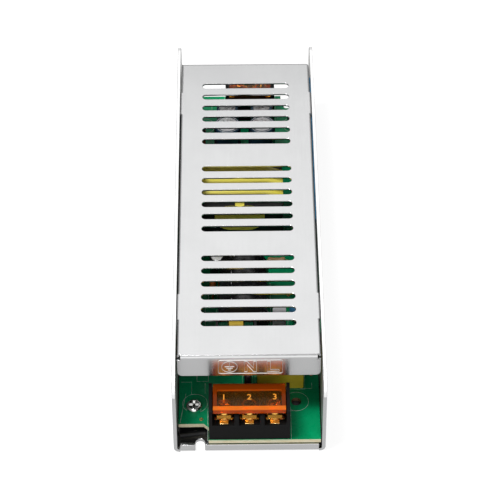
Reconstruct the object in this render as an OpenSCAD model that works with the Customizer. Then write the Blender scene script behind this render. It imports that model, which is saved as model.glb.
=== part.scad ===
// Slim strip power supply in a folded aluminium case.
// +X is to the right, +Y runs from the mains input end to the output end, +Z is up.
// The origin is the middle of the case's underside. Sizes are in millimetres.

/* [Case] */
// Length of the chassis
case_l = 176; // [170:1:200]
// Width over the two walls
case_w = 51; // [49.5:0.5:60]
// Height of the walls
case_h = 33; // [31.5:0.5:40]
// Thickness of the chassis sheet
sheet_t = 1.2; // [1:0.1:1.5]
// Outer radius of the long bends between floor and walls
bend_r = 2; // [1.6:0.1:3]
// Radius on the top corners of the walls
wall_corner_r = 6; // [3:0.5:10]
// Height of the bent-up lip at each end
lip_h = 3.4; // [2:0.1:3.5]
// Outer radius of the lip's bend
lip_bend_r = 1; // [0.4:0.1:1.8]
// Width of the relief gap between a lip and the walls
lip_gap = 1; // [0.5:0.1:2]
// Width of the open mounting notch
notch_w = 3.25; // [2.5:0.05:4.5]
// Depth of the notch from the end of the case
notch_d = 4.6; // [3.5:0.1:6]
// Distance of the notch from the middle line
notch_x = 16.6; // [15.8:0.1:18]
// How far the mouth of the notch flares on each side
notch_flare = 0.6; // [0.2:0.1:1]

/* [Cover] */
// Length of the cover
cover_l = 150; // [146:1:152]
// Thickness of the cover sheet
cover_t = 0.7; // [0.5:0.1:1]
// Gap between the cover and each wall
cover_gap = 0.4; // [0.3:0.1:0.8]
// Outer radius of the bends to the flanges
cover_bend_r = 1.3; // [1.1:0.1:1.8]
// Inner radius of the tight bends along the sides
side_bend_r = 0.1; // [0.1:0.1:0.6]
// Height of the flange at each end
flange_h = 9.4; // [7:0.1:10]
// Radius on the lower corners of the flanges
flange_corner_r = 1.8; // [0.5:0.1:3]
// Height of the rolled edge along each side
side_lip_h = 1.7; // [1.4:0.1:3]
// Side of the relief cut at the front corners
corner_cut = 1.1; // [0.5:0.1:2]
// Radius of the clear rear corner
rear_corner_r = 2.4; // [1:0.1:4]
// Length of a side tab
tab_l = 12; // [8:0.5:16]
// Height of a side tab
tab_h = 8.4; // [7:0.1:8.6]
// Distance of the tabs from the middle of the cover
tab_y = 52; // [48:1:56]
// Height of the collar drawn round each tapped tab hole
tab_collar_h = 1; // [0.5:0.1:1.5]

/* [Vent slots] */
// Groups of slots along the cover
slot_groups = 3; // [1:1:3]
// Slots in one group
slots_per_group = 6; // [2:1:6]
// Pitch of the slots in a group
slot_pitch = 6.16; // [4.5:0.02:6.4]
// Spacing of the groups
group_pitch = 45.35; // [43:0.05:46]
// Length of a slot
slot_l = 32; // [20:0.5:36]
// Width of a slot
slot_w = 2.7; // [1.5:0.1:3.4]
// Distance of the pattern's middle behind the middle of the cover
slot_offset_y = 1; // [-2:0.5:3]

/* [Board] */
// Thickness of the circuit board
board_t = 1.6; // [1:0.1:2]
// Gap from the board's front edge to the input end of the case
board_front_gap = 0.6; // [0.2:0.1:2]
// Gap from the board's rear edge to the output end of the case
board_rear_gap = 0.1; // [0:0.1:0.8]
// Gap from the board's sides to the walls
board_side_gap = 0.4; // [0.35:0.05:0.8]
// Height of the posts under the board
standoff_h = 2.4; // [2:0.1:5]
// Diameter of the posts
standoff_d = 6; // [5:0.1:7]
// Diameter of a post's shank in the floor
standoff_shank_d = 4.2; // [3.8:0.1:4.8]
// Distance of the inner edge of the corner cut-out from the middle line
cutout_x = 13.7; // [13.6:0.1:14.2]
// Depth of the corner cut-out from the board's end
cutout_d = 7.2; // [6.5:0.1:8]
// Side of the chamfer inside the cut-out
cutout_chamfer = 1.7; // [0.5:0.1:2.5]
// Diameter of the board's screw holes
board_hole_d = 3.4; // [3.2:0.1:4]
// Distance of the screwed holes from the nearer wall
screw_hole_side = 5.6; // [4.8:0.1:6.1]
// Distance of the screwed holes from the case's ends
screw_hole_end = 14.9; // [14:0.1:18]
// Distance of the bare holes from the middle line
bare_hole_x = 16; // [15.5:0.1:19]
// Distance of the bare holes from the case's ends
bare_hole_end = 17.5; // [14:0.5:18]
// Thickness of the insulating film
film_t = 0.3; // [0.15:0.05:0.35]
// Height of the film against the walls
film_h = 5.4; // [4.5:0.1:5.8]

/* [Terminal blocks] */
// Ways of the input block
input_ways = 3; // [2:1:3]
// Ways of the output block
output_ways = 2; // [2:1:3]
// Pitch of the ways
way_pitch = 8.5; // [8:0.1:8.8]
// What a block is wider than its ways
block_margin = 1.6; // [1.2:0.1:1.8]
// Depth of a block
block_d = 13.65; // [13.4:0.05:15]
// Distance of a block's wire face from the case's end
block_inset = 0.85; // [0.6:0.05:2]
// Place of the output block across the case
output_block_x = 1.7; // [-2:0.1:2]
// Height of the chamber floors above the board
chamber_h = 7; // [6:0.1:7.2]
// Thickness of the barriers between the ways
barrier_t = 1.6; // [1:0.1:1.8]
// Thickness of the end walls
ear_t = 1.1; // [0.9:0.1:1.3]
// Height of the end walls above the board
ear_h = 13.7; // [13.4:0.1:15]
// Radius on the end walls' top corners
ear_corner_r = 1; // [0.3:0.1:1.4]
// Thickness of the rear wall
rear_wall_t = 2.6; // [1.5:0.1:2.8]

/* [Terminal lids] */
// Gap between a lid and each end wall
lid_gap = 0.35; // [0.3:0.05:0.6]
// Gap under a closed lid
lid_clear = 0.4; // [0.3:0.05:0.6]
// Distance of the lid's front from the wire face
lid_front = 1.15; // [0.6:0.05:1.6]
// Depth of a lid
lid_d = 11.9; // [11.7:0.1:12.2]
// Thickness of a lid
lid_t = 1.5; // [1.2:0.1:1.8]
// Height of the front skirt
skirt_h = 2; // [1.8:0.1:2.2]
// Thickness of the front skirt
skirt_t = 1; // [0.8:0.1:1.2]
// Radius on the lid's front edge
lid_edge_r = 0.5; // [0.2:0.1:0.8]
// Depth of the sunk window
window_depth = 0.8; // [0.3:0.1:1]
// Length of the sunk window
window_d = 7.3; // [5:0.1:8]
// Width of the front rim of the window
window_rim = 1.67; // [1.2:0.01:2.5]
// Width of the side rims of the window
window_side = 1.3; // [0.8:0.1:2]
// How far the hinge axis lies in front of the lid's rear edge
lid_tail = 1.3; // [1:0.05:1.5]
// How far the hinge axis lies below the lid's top
hinge_drop = 1.6; // [1.5:0.05:1.8]
// Diameter of the hinge pins
hinge_pin_d = 1.6; // [1.2:0.1:1.8]
// Radial clearance of the hinge pins
hinge_clear = 0.05; // [0.02:0.01:0.09]
// Length of a hinge lug
lug_w = 2; // [1:0.1:3]

/* [Terminal hardware] */
// Thickness of the brass plates
plate_t = 0.5; // [0.4:0.1:0.6]
// Width of a brass plate
plate_w = 6.2; // [5.6:0.1:6.3]
// Width of the tongue on a brass plate
tongue_w = 3; // [2:0.1:4]
// Distance of the tongue's end from the wire face
tongue_front = 0.4; // [0.2:0.1:1]
// Distance of the plate's wide part from the wire face
plate_front = 2.4; // [1.5:0.1:3]
// Distance of the plate's rear end from the rear wall
plate_rear_gap = 0.6; // [0.3:0.1:1]
// Distance of the clamp screws from the wire face
clamp_y = 6.4; // [6.2:0.1:7]
// Side of the square clamp washers
washer_w = 6; // [5:0.1:6.2]
// Thickness of the clamp washers
washer_t = 0.8; // [0.5:0.1:1]
// Diameter of the clamp screws
clamp_screw_d = 3.5; // [3:0.1:4]
// Depth of a clamp screw in its block
clamp_screw_in = 4.5; // [3:0.5:5]
// Diameter of a clamp screw's head
clamp_head_d = 5.8; // [5:0.1:6]
// Height of a clamp screw's head
clamp_head_h = 2.2; // [1.5:0.1:2.4]

/* [Fasteners] */
// Diameter of the machine screws
screw_d = 3; // [2.5:0.1:3]
// Diameter of a countersunk head
csk_head_d = 5; // [4.6:0.1:5.4]
// Depth of a countersunk head
csk_depth = 1; // [0.8:0.1:1]
// Diameter of a pan head
pan_head_d = 5.5; // [5:0.1:6]
// Height of a pan head
pan_head_h = 2; // [1.6:0.1:2.4]
// Width of the recess in a screw head
recess_w = 0.9; // [0.6:0.1:1.2]
// Depth of the recess in a screw head
recess_d = 0.7; // [0.4:0.1:0.8]
// Distance of the cover screws below the case's top
cover_screw_drop = 4.2; // [3.8:0.1:4.4]
// Width over the flats of the device nuts
nut_af = 5.5; // [5:0.1:5.5]
// Height of the device nuts
nut_h = 2.4; // [1.8:0.1:2.6]

/* [Transformer] */
// Place of the transformer across the case
transformer_x = -4.2; // [-4.6:0.1:-3.8]
// Place of the transformer along the case
transformer_y = 16.6; // [16.2:0.1:17.6]
// Width of the core
core_w = 34.2; // [32:0.1:34.6]
// Length of both core halves together
core_l = 28; // [26:0.5:29]
// Thickness of the core
core_h = 16; // [14:0.5:16.5]
// Width of an outer leg
leg_w = 4; // [3.5:0.05:4.5]
// Width of the middle leg
middle_leg_w = 11; // [9:0.5:12]
// Length of a yoke along the case
yoke_l = 6; // [5:0.5:7]
// Height of the pin rails that carry the core
rail_h = 3.8; // [3.4:0.1:4.2]
// Width of the pin rails
rail_w = 24; // [20:0.5:26]
// Wall of the bobbin
bobbin_t = 1; // [0.8:0.1:1.2]
// How far the winding stands above and below the core
winding_rise = 2; // [1:0.1:2.4]
// Radius on the winding's corners
winding_r = 4; // [2:0.5:5]
// Clearance between the core, the bobbin and the winding
core_gap = 0.1; // [0.05:0.05:0.2]
// Thickness of the tape
tape_t = 0.15; // [0.1:0.05:0.25]
// Width of the tape patch on the core's front
patch_w = 17.9; // [14:0.1:19]
// Height of the tape patch on the core's front
patch_h = 9.2; // [7:0.1:11]
// Radius on the patch's lower corners
patch_r = 6; // [3:0.5:7]
// Place of the patch and the strap from the middle of the core
patch_x = 1.6; // [-2:0.1:3]
// Width of the strap over the front yoke
strap_w = 3.3; // [2:0.1:6]

/* [Capacitors] */
// Diameter of the bulk capacitor
bulk_d = 18; // [16:0.5:18]
// Length of the bulk capacitor
bulk_l = 26.5; // [25:0.5:27]
// Place of the bulk capacitor across the case
bulk_x = -1.5; // [-2:0.1:-1.4]
// Distance of the bulk capacitor from the input end
bulk_front = 47; // [46.5:0.5:48]
// Diameter of the output capacitors in the front row
output_cap_d = 10; // [8:0.5:10.4]
// Diameter of the output capacitors in the rear row
rear_cap_d = 8; // [6:0.5:8.4]
// Height of the output capacitors
output_cap_h = 20; // [16:0.5:22]
// Middle of the two rows of output capacitors
output_caps_x = -0.5; // [-1:0.1:0.5]
// Spacing of the output capacitors across the case
output_cap_pitch_x = 12.8; // [11:0.1:13.5]
// Spacing of the output capacitors along the case
output_cap_pitch_y = 9.6; // [9.5:0.1:10.2]
// Distance of the rear row from the output end
output_caps_end = 29.4; // [28:0.1:30]
// Diameter of the bias capacitor
bias_d = 5; // [4:0.5:5.5]
// Height of the bias capacitor
bias_h = 11; // [7:0.5:12]
// Place of the bias capacitor across the case
bias_x = -10.9; // [-11.4:0.1:-10.4]
// Gap between the bulk capacitor's rear end and the bias capacitor
bias_gap = 0.7; // [0.4:0.1:2]
// Width of the interference capacitor
x_cap_w = 16; // [13:0.1:16.4]
// Depth of the interference capacitor
x_cap_d = 7.5; // [6:0.1:8]
// Height of the interference capacitor
x_cap_h = 13.8; // [10:0.1:14.5]
// Place of the interference capacitor across the case
x_cap_x = 10.65; // [10.2:0.05:11]
// Distance of the interference capacitor's middle from the input end
x_cap_front = 27.35; // [26.5:0.05:27.8]
// Width of the film capacitor
film_cap_w = 4.5; // [3.5:0.1:4.8]
// Length of the film capacitor
film_cap_l = 6.4; // [5:0.1:8]
// Height of the film capacitor
film_cap_h = 14.8; // [9:0.1:15]
// Place of the film capacitor across the case
film_cap_x = 10.8; // [10.5:0.1:11]
// Distance of the film capacitor's middle from the input end
film_cap_front = 47.9; // [47:0.1:50]
// Radius on the vertical edges of the boxed capacitors
box_edge_r = 0.5; // [0.2:0.1:0.8]
// Radius of the rolled groove in a capacitor can
can_groove_r = 0.5; // [0.2:0.1:0.7]
// Radius on the ends of a capacitor can
can_edge_r = 0.6; // [0.3:0.1:1]
// Diameter of the orange disc capacitor
y_cap_d = 6; // [5:0.5:7]
// Thickness of the orange disc capacitor
y_cap_t = 2.2; // [2:0.1:2.8]
// Place of the orange disc capacitor across the case
y_cap_x = -12.4; // [-13:0.1:-12.2]
// Distance of the orange disc capacitor from the input end
y_cap_front = 68; // [66:0.5:69]

/* [Input parts] */
// Diameter of the fuse
fuse_d = 7.6; // [6:0.1:7.8]
// Height of the fuse
fuse_h = 7.7; // [6:0.1:9]
// Distance of the fuse's axis from the left wall
fuse_side = 4.9; // [4.6:0.1:5.2]
// Distance of the fuse from the input end
fuse_front = 34; // [33.5:0.1:34.4]
// Diameter of the thermistor disc
thermistor_d = 9; // [7:0.5:9.5]
// Thickness of the thermistor disc
thermistor_t = 2.5; // [2:0.1:3]
// Place of the thermistor across the case
thermistor_x = -0.45; // [-1:0.05:0]
// Distance of the thermistor from the input end
thermistor_front = 24.5; // [23:0.5:25]
// Diameter of the varistor disc
varistor_d = 7; // [5:0.5:7.5]
// Thickness of the varistor disc
varistor_t = 4.3; // [3:0.1:4.6]
// Place of the varistor across the case
varistor_x = 16.6; // [16.2:0.1:18]
// Distance of the varistor from the input end
varistor_front = 55.9; // [55:0.1:57]
// Width of the bridge rectifier
bridge_w = 14.4; // [12:0.1:14.6]
// Thickness of the bridge rectifier
bridge_t = 3.6; // [3:0.1:4]
// Height of the bridge rectifier's body
bridge_h = 10.5; // [9:0.1:12]
// Place of the bridge rectifier across the case
bridge_x = 14.2; // [14:0.1:14.8]
// Distance of the bridge rectifier from the input end
bridge_front = 36.8; // [35.5:0.1:37.5]
// Length of the leads that hold a part above the board
lead_l = 1.8; // [1:0.1:3]
// Diameter of the leads
lead_d = 0.8; // [0.5:0.1:1]

/* [Choke] */
// Place of the choke across the case
choke_x = -4.2; // [-4.6:0.1:-4]
// Distance of the choke from the input end
choke_front = 39.5; // [38.5:0.5:40]
// Width of the choke's ring core
choke_core_w = 20.6; // [19:0.1:21]
// Thickness of the ring core's legs
choke_leg = 3.2; // [2.5:0.1:3.4]
// Depth of the ring core
choke_core_d = 4; // [3:0.1:4.5]
// Diameter of the windings
choke_coil_d = 11; // [9:0.1:11.5]
// Width of the divider between the windings
choke_divider_w = 4.9; // [2:0.1:5.5]
// Thickness of the bobbin's end flanges
choke_flange_t = 0.8; // [0.5:0.1:1]
// Gap between the windings and the ring's lower leg
choke_coil_gap = 0.4; // [0.3:0.1:1]
// Wall of the choke's bobbin
choke_bobbin_t = 0.8; // [0.6:0.1:1]

/* [Wall devices] */
// Thickness of the blue pad
pad_t = 0.3; // [0.15:0.05:0.3]
// How far the pad reaches past the first device
pad_front_reach = 0.5; // [0.3:0.1:1.5]
// How far the pad reaches past the last device
pad_rear_reach = 2; // [0.5:0.1:3.5]
// Gap between the pad and the film below it
pad_film_gap = 0.3; // [0.1:0.1:0.6]
// How far the pad reaches below the devices
pad_margin = 1.1; // [0.5:0.1:1.4]
// Distance of the pad's upper edge below the case's top
pad_drop = 1.5; // [0.5:0.1:2.5]
// Clearance of the pad round a cover tab
pad_tab_gap = 0.5; // [0.3:0.1:1]
// Gap between the switching transistor and the transformer's tape
transistor_gap = 0.35; // [0.3:0.05:0.6]
// Distance of the output rectifiers' holes from the cut-out round the cover's tab
rectifier_clear = 2.5; // [2:0.1:3]
// Width of a wall device
device_w = 10; // [9:0.1:10.4]
// Height of a wall device's moulding
device_body_h = 9; // [8:0.1:9.2]
// Thickness of a wall device
device_t = 4.5; // [4:0.1:4.6]
// Thickness of a wall device's metal tab
device_tab_t = 1.3; // [1:0.1:1.5]
// Height of a wall device with its tab
device_h = 15.6; // [15.2:0.1:15.8]
// Distance of the tab hole below the tab's top
device_hole_drop = 2.9; // [2.8:0.1:3.1]
// Spacing of a device's leads
device_lead_pitch = 2.54; // [2:0.02:2.6]

/* [Small parts] */
// Length of the controller chip
chip_l = 9.4; // [7:0.1:10]
// Length of the optocoupler
opto_l = 4.6; // [4:0.1:5.5]
// Width of the chips' mouldings
chip_w = 6.2; // [5:0.1:6.4]
// Height of the chips' mouldings
chip_h = 3.3; // [2.5:0.1:3.6]
// Gap between a chip's moulding and the board
chip_gap = 0.5; // [0.3:0.1:0.8]
// Width over a chip's leads
chip_span = 7.6; // [7:0.1:7.8]
// Distance of both chips' middles from the left wall
chip_side = 4.9; // [4.7:0.1:5.1]
// Distance of the controller chip from the input end
controller_front = 57.5; // [56:0.5:57.5]
// Distance of the optocoupler from the output end
opto_end = 50; // [48:0.5:51]
// Diameter of the output choke
output_choke_d = 8; // [6:0.5:8.4]
// Height of the output choke
output_choke_h = 14; // [10:0.5:16]
// Distance of the output choke's axis from the left wall
output_choke_side = 5.3; // [4.9:0.1:5.7]
// Distance of the output choke from the output end
output_choke_end = 36; // [32:0.5:39]
// Length of a resistor's body
resistor_l = 6.4; // [5:0.1:7]
// Diameter of a resistor's body
resistor_d = 2.4; // [1.8:0.1:2.6]
// Distance of the banded resistor's axis from the front of the transformer's core
resistor_gap = 6.8; // [6:0.1:7.6]
// Place of the banded resistor across the case
resistor_x = 10.5; // [10:0.1:11]
// Distance of the left resistor from the left wall
left_resistor_side = 4.9; // [4.5:0.1:5.8]
// Distance of the left resistor from the input end
left_resistor_front = 69; // [68:0.5:69.5]

/* [Hidden] */
$fn = 48;

// Overshoot of cutting shapes, and the clearance of close fits
cut = 1;
fit = 0.02;

// Proportions of small standard parts
recess_share = 0.6;
pan_edge_share = 0.45;
disc_rim_share = 0.4;
resistor_waist_share = 0.8;

// Derived places
inner_half = case_w / 2 - sheet_t;
lip_half = inner_half - lip_gap;
board_half = inner_half - board_side_gap;
board_bottom = sheet_t + standoff_h;
board_top = board_bottom + board_t;
cover_half = inner_half - cover_gap;
cover_screw_z = case_h - cover_screw_drop;
screw_spots = [
    [screw_hole_side - inner_half, screw_hole_end - case_l / 2],
    [inner_half - screw_hole_side, case_l / 2 - screw_hole_end]
];
bare_spots = [
    [bare_hole_x, bare_hole_end - case_l / 2],
    [-bare_hole_x, case_l / 2 - bare_hole_end]
];
hinge_y = lid_front + lid_d - lid_tail;
hinge_z = ear_h - hinge_drop;
barrier_h = ear_h - lid_t - lid_clear;
barrier_front_h = ear_h - skirt_h - lid_clear;
rear_wall_h = hinge_z - lid_tail - lid_clear;
washer_z = chamber_h + plate_t;
clamp_head_z = washer_z + washer_t;
core_z = board_top + rail_h;
winding_half = core_w / 2 - leg_w - core_gap;
winding_l = core_l - 2 * yoke_l;
choke_axis_z = board_top + choke_leg + choke_coil_gap + choke_coil_d / 2;
choke_core_h = choke_axis_z - board_top + choke_leg / 2;
choke_inner_w = choke_core_w - 2 * choke_leg;
device_back_x = inner_half - pad_t;
pad_bottom = sheet_t + film_h + pad_film_gap;
pad_top = case_h - pad_drop;
device_z = pad_bottom + pad_margin;
device_hole_z = device_z + device_h - device_hole_drop;
transistor_y = transformer_y - core_l / 2 - tape_t - transistor_gap - device_w / 2;
rectifier_shift = tab_l / 2 + pad_tab_gap + rectifier_clear;
rectifier_rows = [tab_y - rectifier_shift, tab_y + rectifier_shift];
device_rows = concat([transistor_y], rectifier_rows);
pad_front_y = transistor_y - device_w / 2 - pad_front_reach;
pad_rear_y = rectifier_rows[1] + device_w / 2 + pad_rear_reach;

function from_input(d) = d - case_l / 2;
function from_output(d) = case_l / 2 - d;
function from_left(d) = d - inner_half;
function block_w(ways) = ways * way_pitch + block_margin;
function way_x(ways, i) = (i - (ways - 1) / 2) * way_pitch;

// Extrudes a YZ section along X
module along_x(l) {
    rotate([90, 0, 90])
        linear_extrude(l, center = true) children();
}

// Extrudes an XZ section along Y
module along_y(l) {
    rotate([90, 0, 0])
        linear_extrude(l, center = true) children();
}

// Section that stands on the first axis, with both lower corners rounded
module cup_section(w, h, r) {
    translate([-w / 2, r]) square([w, h - r]);
    translate([r - w / 2, 0]) square([w - 2 * r, h]);
    for (side = [-1, 1])
        translate([side * (w / 2 - r), r]) circle(r);
}

// Section that hangs from height h, with both upper corners rounded
module cap_section(w, h, r) {
    translate([0, h]) mirror([0, 1]) cup_section(w, h, r);
}

module rounded_square(w, d, r) {
    square([w - 2 * r, d], center = true);
    square([w, d - 2 * r], center = true);
    for (sx = [-1, 1], sy = [-1, 1])
        translate([sx * (w / 2 - r), sy * (d / 2 - r)]) circle(r);
}

module slot_outline(l, w) {
    square([l - w, w], center = true);
    for (side = [-1, 1])
        translate([side * (l - w) / 2, 0]) circle(w / 2);
}

// What is cut away to round a corner that lies at the origin and fills the third quadrant
module corner_cutter(r) {
    translate([-r, -r]) difference() {
        square(r + cut);
        circle(r);
    }
}

// Places its children twice, the second time turned half round the case
module at_both_ends() {
    for (turn = [0, 180])
        rotate([0, 0, turn]) children();
}

// Places its children at a wall's outer face, with the third axis pointing out of the wall
module at_wall(side, y, z) {
    translate([side * case_w / 2, y, z])
        rotate([0, side * 90, 0]) children();
}

module countersunk_hole() {
    slope = (csk_head_d - screw_d) / 2 / csk_depth;
    translate([0, 0, -sheet_t - cut]) cylinder(d = screw_d + 2 * fit, h = sheet_t + 2 * cut);
    translate([0, 0, -csk_depth])
        cylinder(d1 = screw_d + 2 * fit, d2 = csk_head_d + 2 * fit + 2 * slope * cut, h = csk_depth + cut);
}

module cross_recess(l, depth) {
    for (turn = [0, 90])
        rotate([0, 0, turn]) translate([-l / 2, -recess_w / 2, -depth]) cube([l, recess_w, depth + cut]);
}

module countersunk_screw(l) {
    difference() {
        union() {
            translate([0, 0, -csk_depth]) cylinder(d1 = screw_d, d2 = csk_head_d, h = csk_depth);
            translate([0, 0, -l]) cylinder(d = screw_d, h = l - csk_depth);
        }
        cross_recess(csk_head_d * recess_share, recess_d);
    }
}

module pan_screw(d, head_d, head_h, l) {
    edge_r = head_h * pan_edge_share;
    difference() {
        union() {
            rotate_extrude() difference() {
                square([head_d / 2, head_h]);
                translate([head_d / 2, head_h]) corner_cutter(edge_r);
            }
            translate([0, 0, -l]) cylinder(d = d, h = l + head_h / 2);
        }
        translate([0, 0, head_h]) cross_recess(head_d * recess_share, recess_d);
    }
}

// Electrolytic capacitor standing on the third axis
module can(d, h) {
    rotate_extrude() difference() {
        square([d / 2, h]);
        translate([d / 2, h]) corner_cutter(can_edge_r);
        translate([d / 2, 0]) mirror([0, 1]) corner_cutter(can_edge_r);
        translate([d / 2 + can_groove_r / 2, 4 * can_groove_r]) circle(can_groove_r);
    }
}

// Coated disc on two leads, its flat faces across X
module leaded_disc(d, t) {
    rim_r = t * disc_rim_share;
    translate([0, 0, lead_l + d / 2]) rotate([0, 90, 0]) rotate_extrude() difference() {
        translate([0, -t / 2]) square([d / 2, t]);
        translate([d / 2, t / 2]) corner_cutter(rim_r);
        translate([d / 2, -t / 2]) mirror([0, 1]) corner_cutter(rim_r);
    }
    for (side = [-1, 1])
        translate([0, side * d / 4, 0]) cylinder(d = lead_d, h = lead_l + d / 4);
}

module chip(l) {
    translate([-chip_w / 2, -l / 2, chip_gap]) cube([chip_w, l, chip_h]);
    leads = floor(l / device_lead_pitch);
    for (i = [0 : leads - 1], side = [-1, 1])
        translate([side * (chip_span - lead_d) / 2, (i - (leads - 1) / 2) * device_lead_pitch, 0])
            union() {
                translate([-lead_d / 2, -lead_d / 2, 0]) cube([lead_d, lead_d, chip_gap + chip_h / 2]);
                translate([-side * lead_d / 2 - lead_d / 2, -lead_d / 2, chip_gap + chip_h / 2 - lead_d / 2])
                    cube([lead_d, lead_d, lead_d / 2]);
            }
}

module resistor() {
    reach = resistor_l / 2 + 1.5 * lead_d;
    waist_d = resistor_d * resistor_waist_share;
    axis_z = resistor_d / 2 + lead_d / 2;
    translate([0, 0, axis_z]) rotate([0, 90, 0]) {
        cylinder(d = waist_d, h = resistor_l - resistor_d, center = true);
        for (side = [-1, 1])
            translate([0, 0, side * (resistor_l - resistor_d) / 2])
                cylinder(d = resistor_d, h = resistor_d, center = true);
        cylinder(d = lead_d, h = 2 * reach, center = true);
    }
    for (side = [-1, 1])
        translate([side * (reach - lead_d / 2), 0, 0]) cylinder(d = lead_d, h = axis_z);
}

// Flat power device with its metal back on the YZ plane and its leads reaching down to the board
module wall_device() {
    difference() {
        union() {
            translate([-device_t, -device_w / 2, 0]) cube([device_t, device_w, device_body_h]);
            translate([-device_tab_t, -device_w / 2, 0]) cube([device_tab_t, device_w, device_h]);
        }
        translate([-device_tab_t - cut, 0, device_h - device_hole_drop])
            rotate([0, 90, 0]) cylinder(d = screw_d + 2 * fit, h = device_tab_t + 2 * cut);
    }
    for (i = [-1, 0, 1])
        translate([-device_t / 2 - lead_d / 2, i * device_lead_pitch - lead_d / 2, board_top - device_z])
            cube([lead_d, lead_d, device_z - board_top]);
}

module place_device(y) {
    translate([device_back_x, y, device_z]) wall_device();
}

// Case

module notch_outline() {
    mouth = notch_w / 2 + notch_flare;
    translate([0, notch_d - notch_w / 2]) circle(notch_w / 2);
    translate([-notch_w / 2, -cut]) square([notch_w, notch_d - notch_w / 2 + cut]);
    polygon([[-mouth, -cut], [mouth, -cut], [mouth, 0], [notch_w / 2, notch_flare],
        [-notch_w / 2, notch_flare], [-mouth, 0]]);
}

module chassis() {
    color("gainsboro") difference() {
        union() {
            along_y(case_l) difference() {
                cup_section(case_w, case_h, bend_r);
                translate([0, sheet_t]) cup_section(case_w - 2 * sheet_t, case_h, bend_r - sheet_t);
            }
            at_both_ends()
                translate([-lip_half, from_input(0), sheet_t / 2])
                    cube([2 * lip_half, sheet_t, lip_h - sheet_t / 2]);
        }
        at_both_ends() {
            along_x(case_w + cut) translate([case_l / 2, case_h]) corner_cutter(wall_corner_r);
            along_x(2 * lip_half) translate([case_l / 2, 0]) mirror([0, 1]) corner_cutter(lip_bend_r);
            translate([-notch_x, from_input(0), -cut]) linear_extrude(lip_h + 2 * cut) notch_outline();
        }
        for (side = [-1, 1], end = [-1, 1])
            at_wall(side, end * tab_y, cover_screw_z) countersunk_hole();
        for (y = device_rows)
            at_wall(1, y, device_hole_z) countersunk_hole();
        for (spot = concat(screw_spots, bare_spots))
            translate([spot[0], spot[1], -cut])
                cylinder(d = standoff_shank_d + 2 * fit, h = sheet_t + 2 * cut);
    }
}

module insulation_film() {
    film_half = inner_half - fit;
    film_r = bend_r - sheet_t + film_t;
    color([0.06, 0.06, 0.07]) translate([0, 0, sheet_t]) difference() {
        along_y(case_l - 2 * sheet_t - 2 * film_t) difference() {
            cup_section(2 * film_half, film_h, film_r);
            translate([0, film_t]) cup_section(2 * (film_half - film_t), film_h, film_r - film_t);
        }
        at_both_ends()
            translate([-notch_x, from_input(0), -cut]) linear_extrude(2 * cut + film_t) union() {
                notch_outline();
                translate([0, film_t]) notch_outline();
            }
        for (spot = concat(screw_spots, bare_spots))
            translate([spot[0], spot[1], -cut]) cylinder(d = standoff_d + film_t, h = film_t + 2 * cut);
    }
}

module pcb_standoffs() {
    color("silver") for (spot = concat(screw_spots, bare_spots))
        translate([spot[0], spot[1], 0]) difference() {
            union() {
                cylinder(d = standoff_shank_d, h = sheet_t);
                translate([0, 0, sheet_t]) cylinder(d = standoff_d, h = standoff_h);
            }
            translate([0, 0, -cut]) cylinder(d = screw_d + 2 * fit, h = sheet_t + standoff_h + 2 * cut);
        }
}

module board_outline() {
    front_y = from_input(board_front_gap);
    rear_y = from_output(board_rear_gap);
    front_step_y = front_y + cutout_d;
    rear_step_y = rear_y - cutout_d;
    bevel_x = cutout_x + cutout_chamfer;
    polygon([
        [-cutout_x, front_y], [board_half, front_y], [board_half, rear_step_y], [bevel_x, rear_step_y],
        [cutout_x, rear_step_y + cutout_chamfer], [cutout_x, rear_y], [-board_half, rear_y],
        [-board_half, front_step_y], [-bevel_x, front_step_y], [-cutout_x, front_step_y - cutout_chamfer]
    ]);
}

module circuit_board() {
    color("seagreen") translate([0, 0, board_bottom]) difference() {
        linear_extrude(board_t) board_outline();
        for (spot = concat(screw_spots, bare_spots))
            translate([spot[0], spot[1], -cut]) cylinder(d = board_hole_d, h = board_t + 2 * cut);
    }
}

module pcb_screws() {
    color("lightgray") for (spot = screw_spots)
        translate([spot[0], spot[1], board_top])
            pan_screw(screw_d, pan_head_d, pan_head_h, board_t + standoff_h);
}

// Terminal blocks: the wire face lies on the XZ plane, +Y runs inwards and the board's top is at zero

module block_body(ways) {
    w = block_w(ways);
    drop_y = hinge_y - lid_tail - lid_clear;
    difference() {
        union() {
            translate([-w / 2, 0, 0]) cube([w, block_d, chamber_h]);
            translate([-w / 2, block_d - rear_wall_t, 0]) cube([w, rear_wall_t, rear_wall_h]);
            for (side = [-1, 1])
                translate([side * (w - ear_t) / 2, block_d / 2, 0])
                    along_x(ear_t) cap_section(block_d, ear_h, ear_corner_r);
            for (i = [1 : ways - 1])
                translate([way_x(ways, i) - way_pitch / 2, 0, 0]) along_x(barrier_t) union() {
                    square([block_d, barrier_front_h - lid_tail]);
                    square([drop_y, barrier_front_h]);
                    translate([lid_front + skirt_t + lid_clear, 0])
                        square([drop_y - lid_front - skirt_t - lid_clear, barrier_h]);
                }
        }
        for (side = [-1, 1])
            translate([side * (w - ear_t) / 2, hinge_y, hinge_z]) rotate([0, 90, 0])
                cylinder(d = hinge_pin_d + 2 * hinge_clear, h = ear_t + 2 * fit, center = true);
        for (i = [0 : ways - 1])
            translate([way_x(ways, i), clamp_y, chamber_h - clamp_screw_in - fit])
                cylinder(d = clamp_screw_d + 2 * fit, h = clamp_screw_in + cut);
    }
}

module clamp_plates(ways) {
    plate_rear = block_d - rear_wall_t - plate_rear_gap;
    for (i = [0 : ways - 1])
        translate([way_x(ways, i), 0, chamber_h]) difference() {
            union() {
                translate([-plate_w / 2, plate_front, 0]) cube([plate_w, plate_rear - plate_front, plate_t]);
                translate([-tongue_w / 2, tongue_front, 0]) cube([tongue_w, plate_front, plate_t]);
            }
            translate([0, clamp_y, -cut]) cylinder(d = clamp_screw_d + 2 * fit, h = plate_t + 2 * cut);
        }
}

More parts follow.
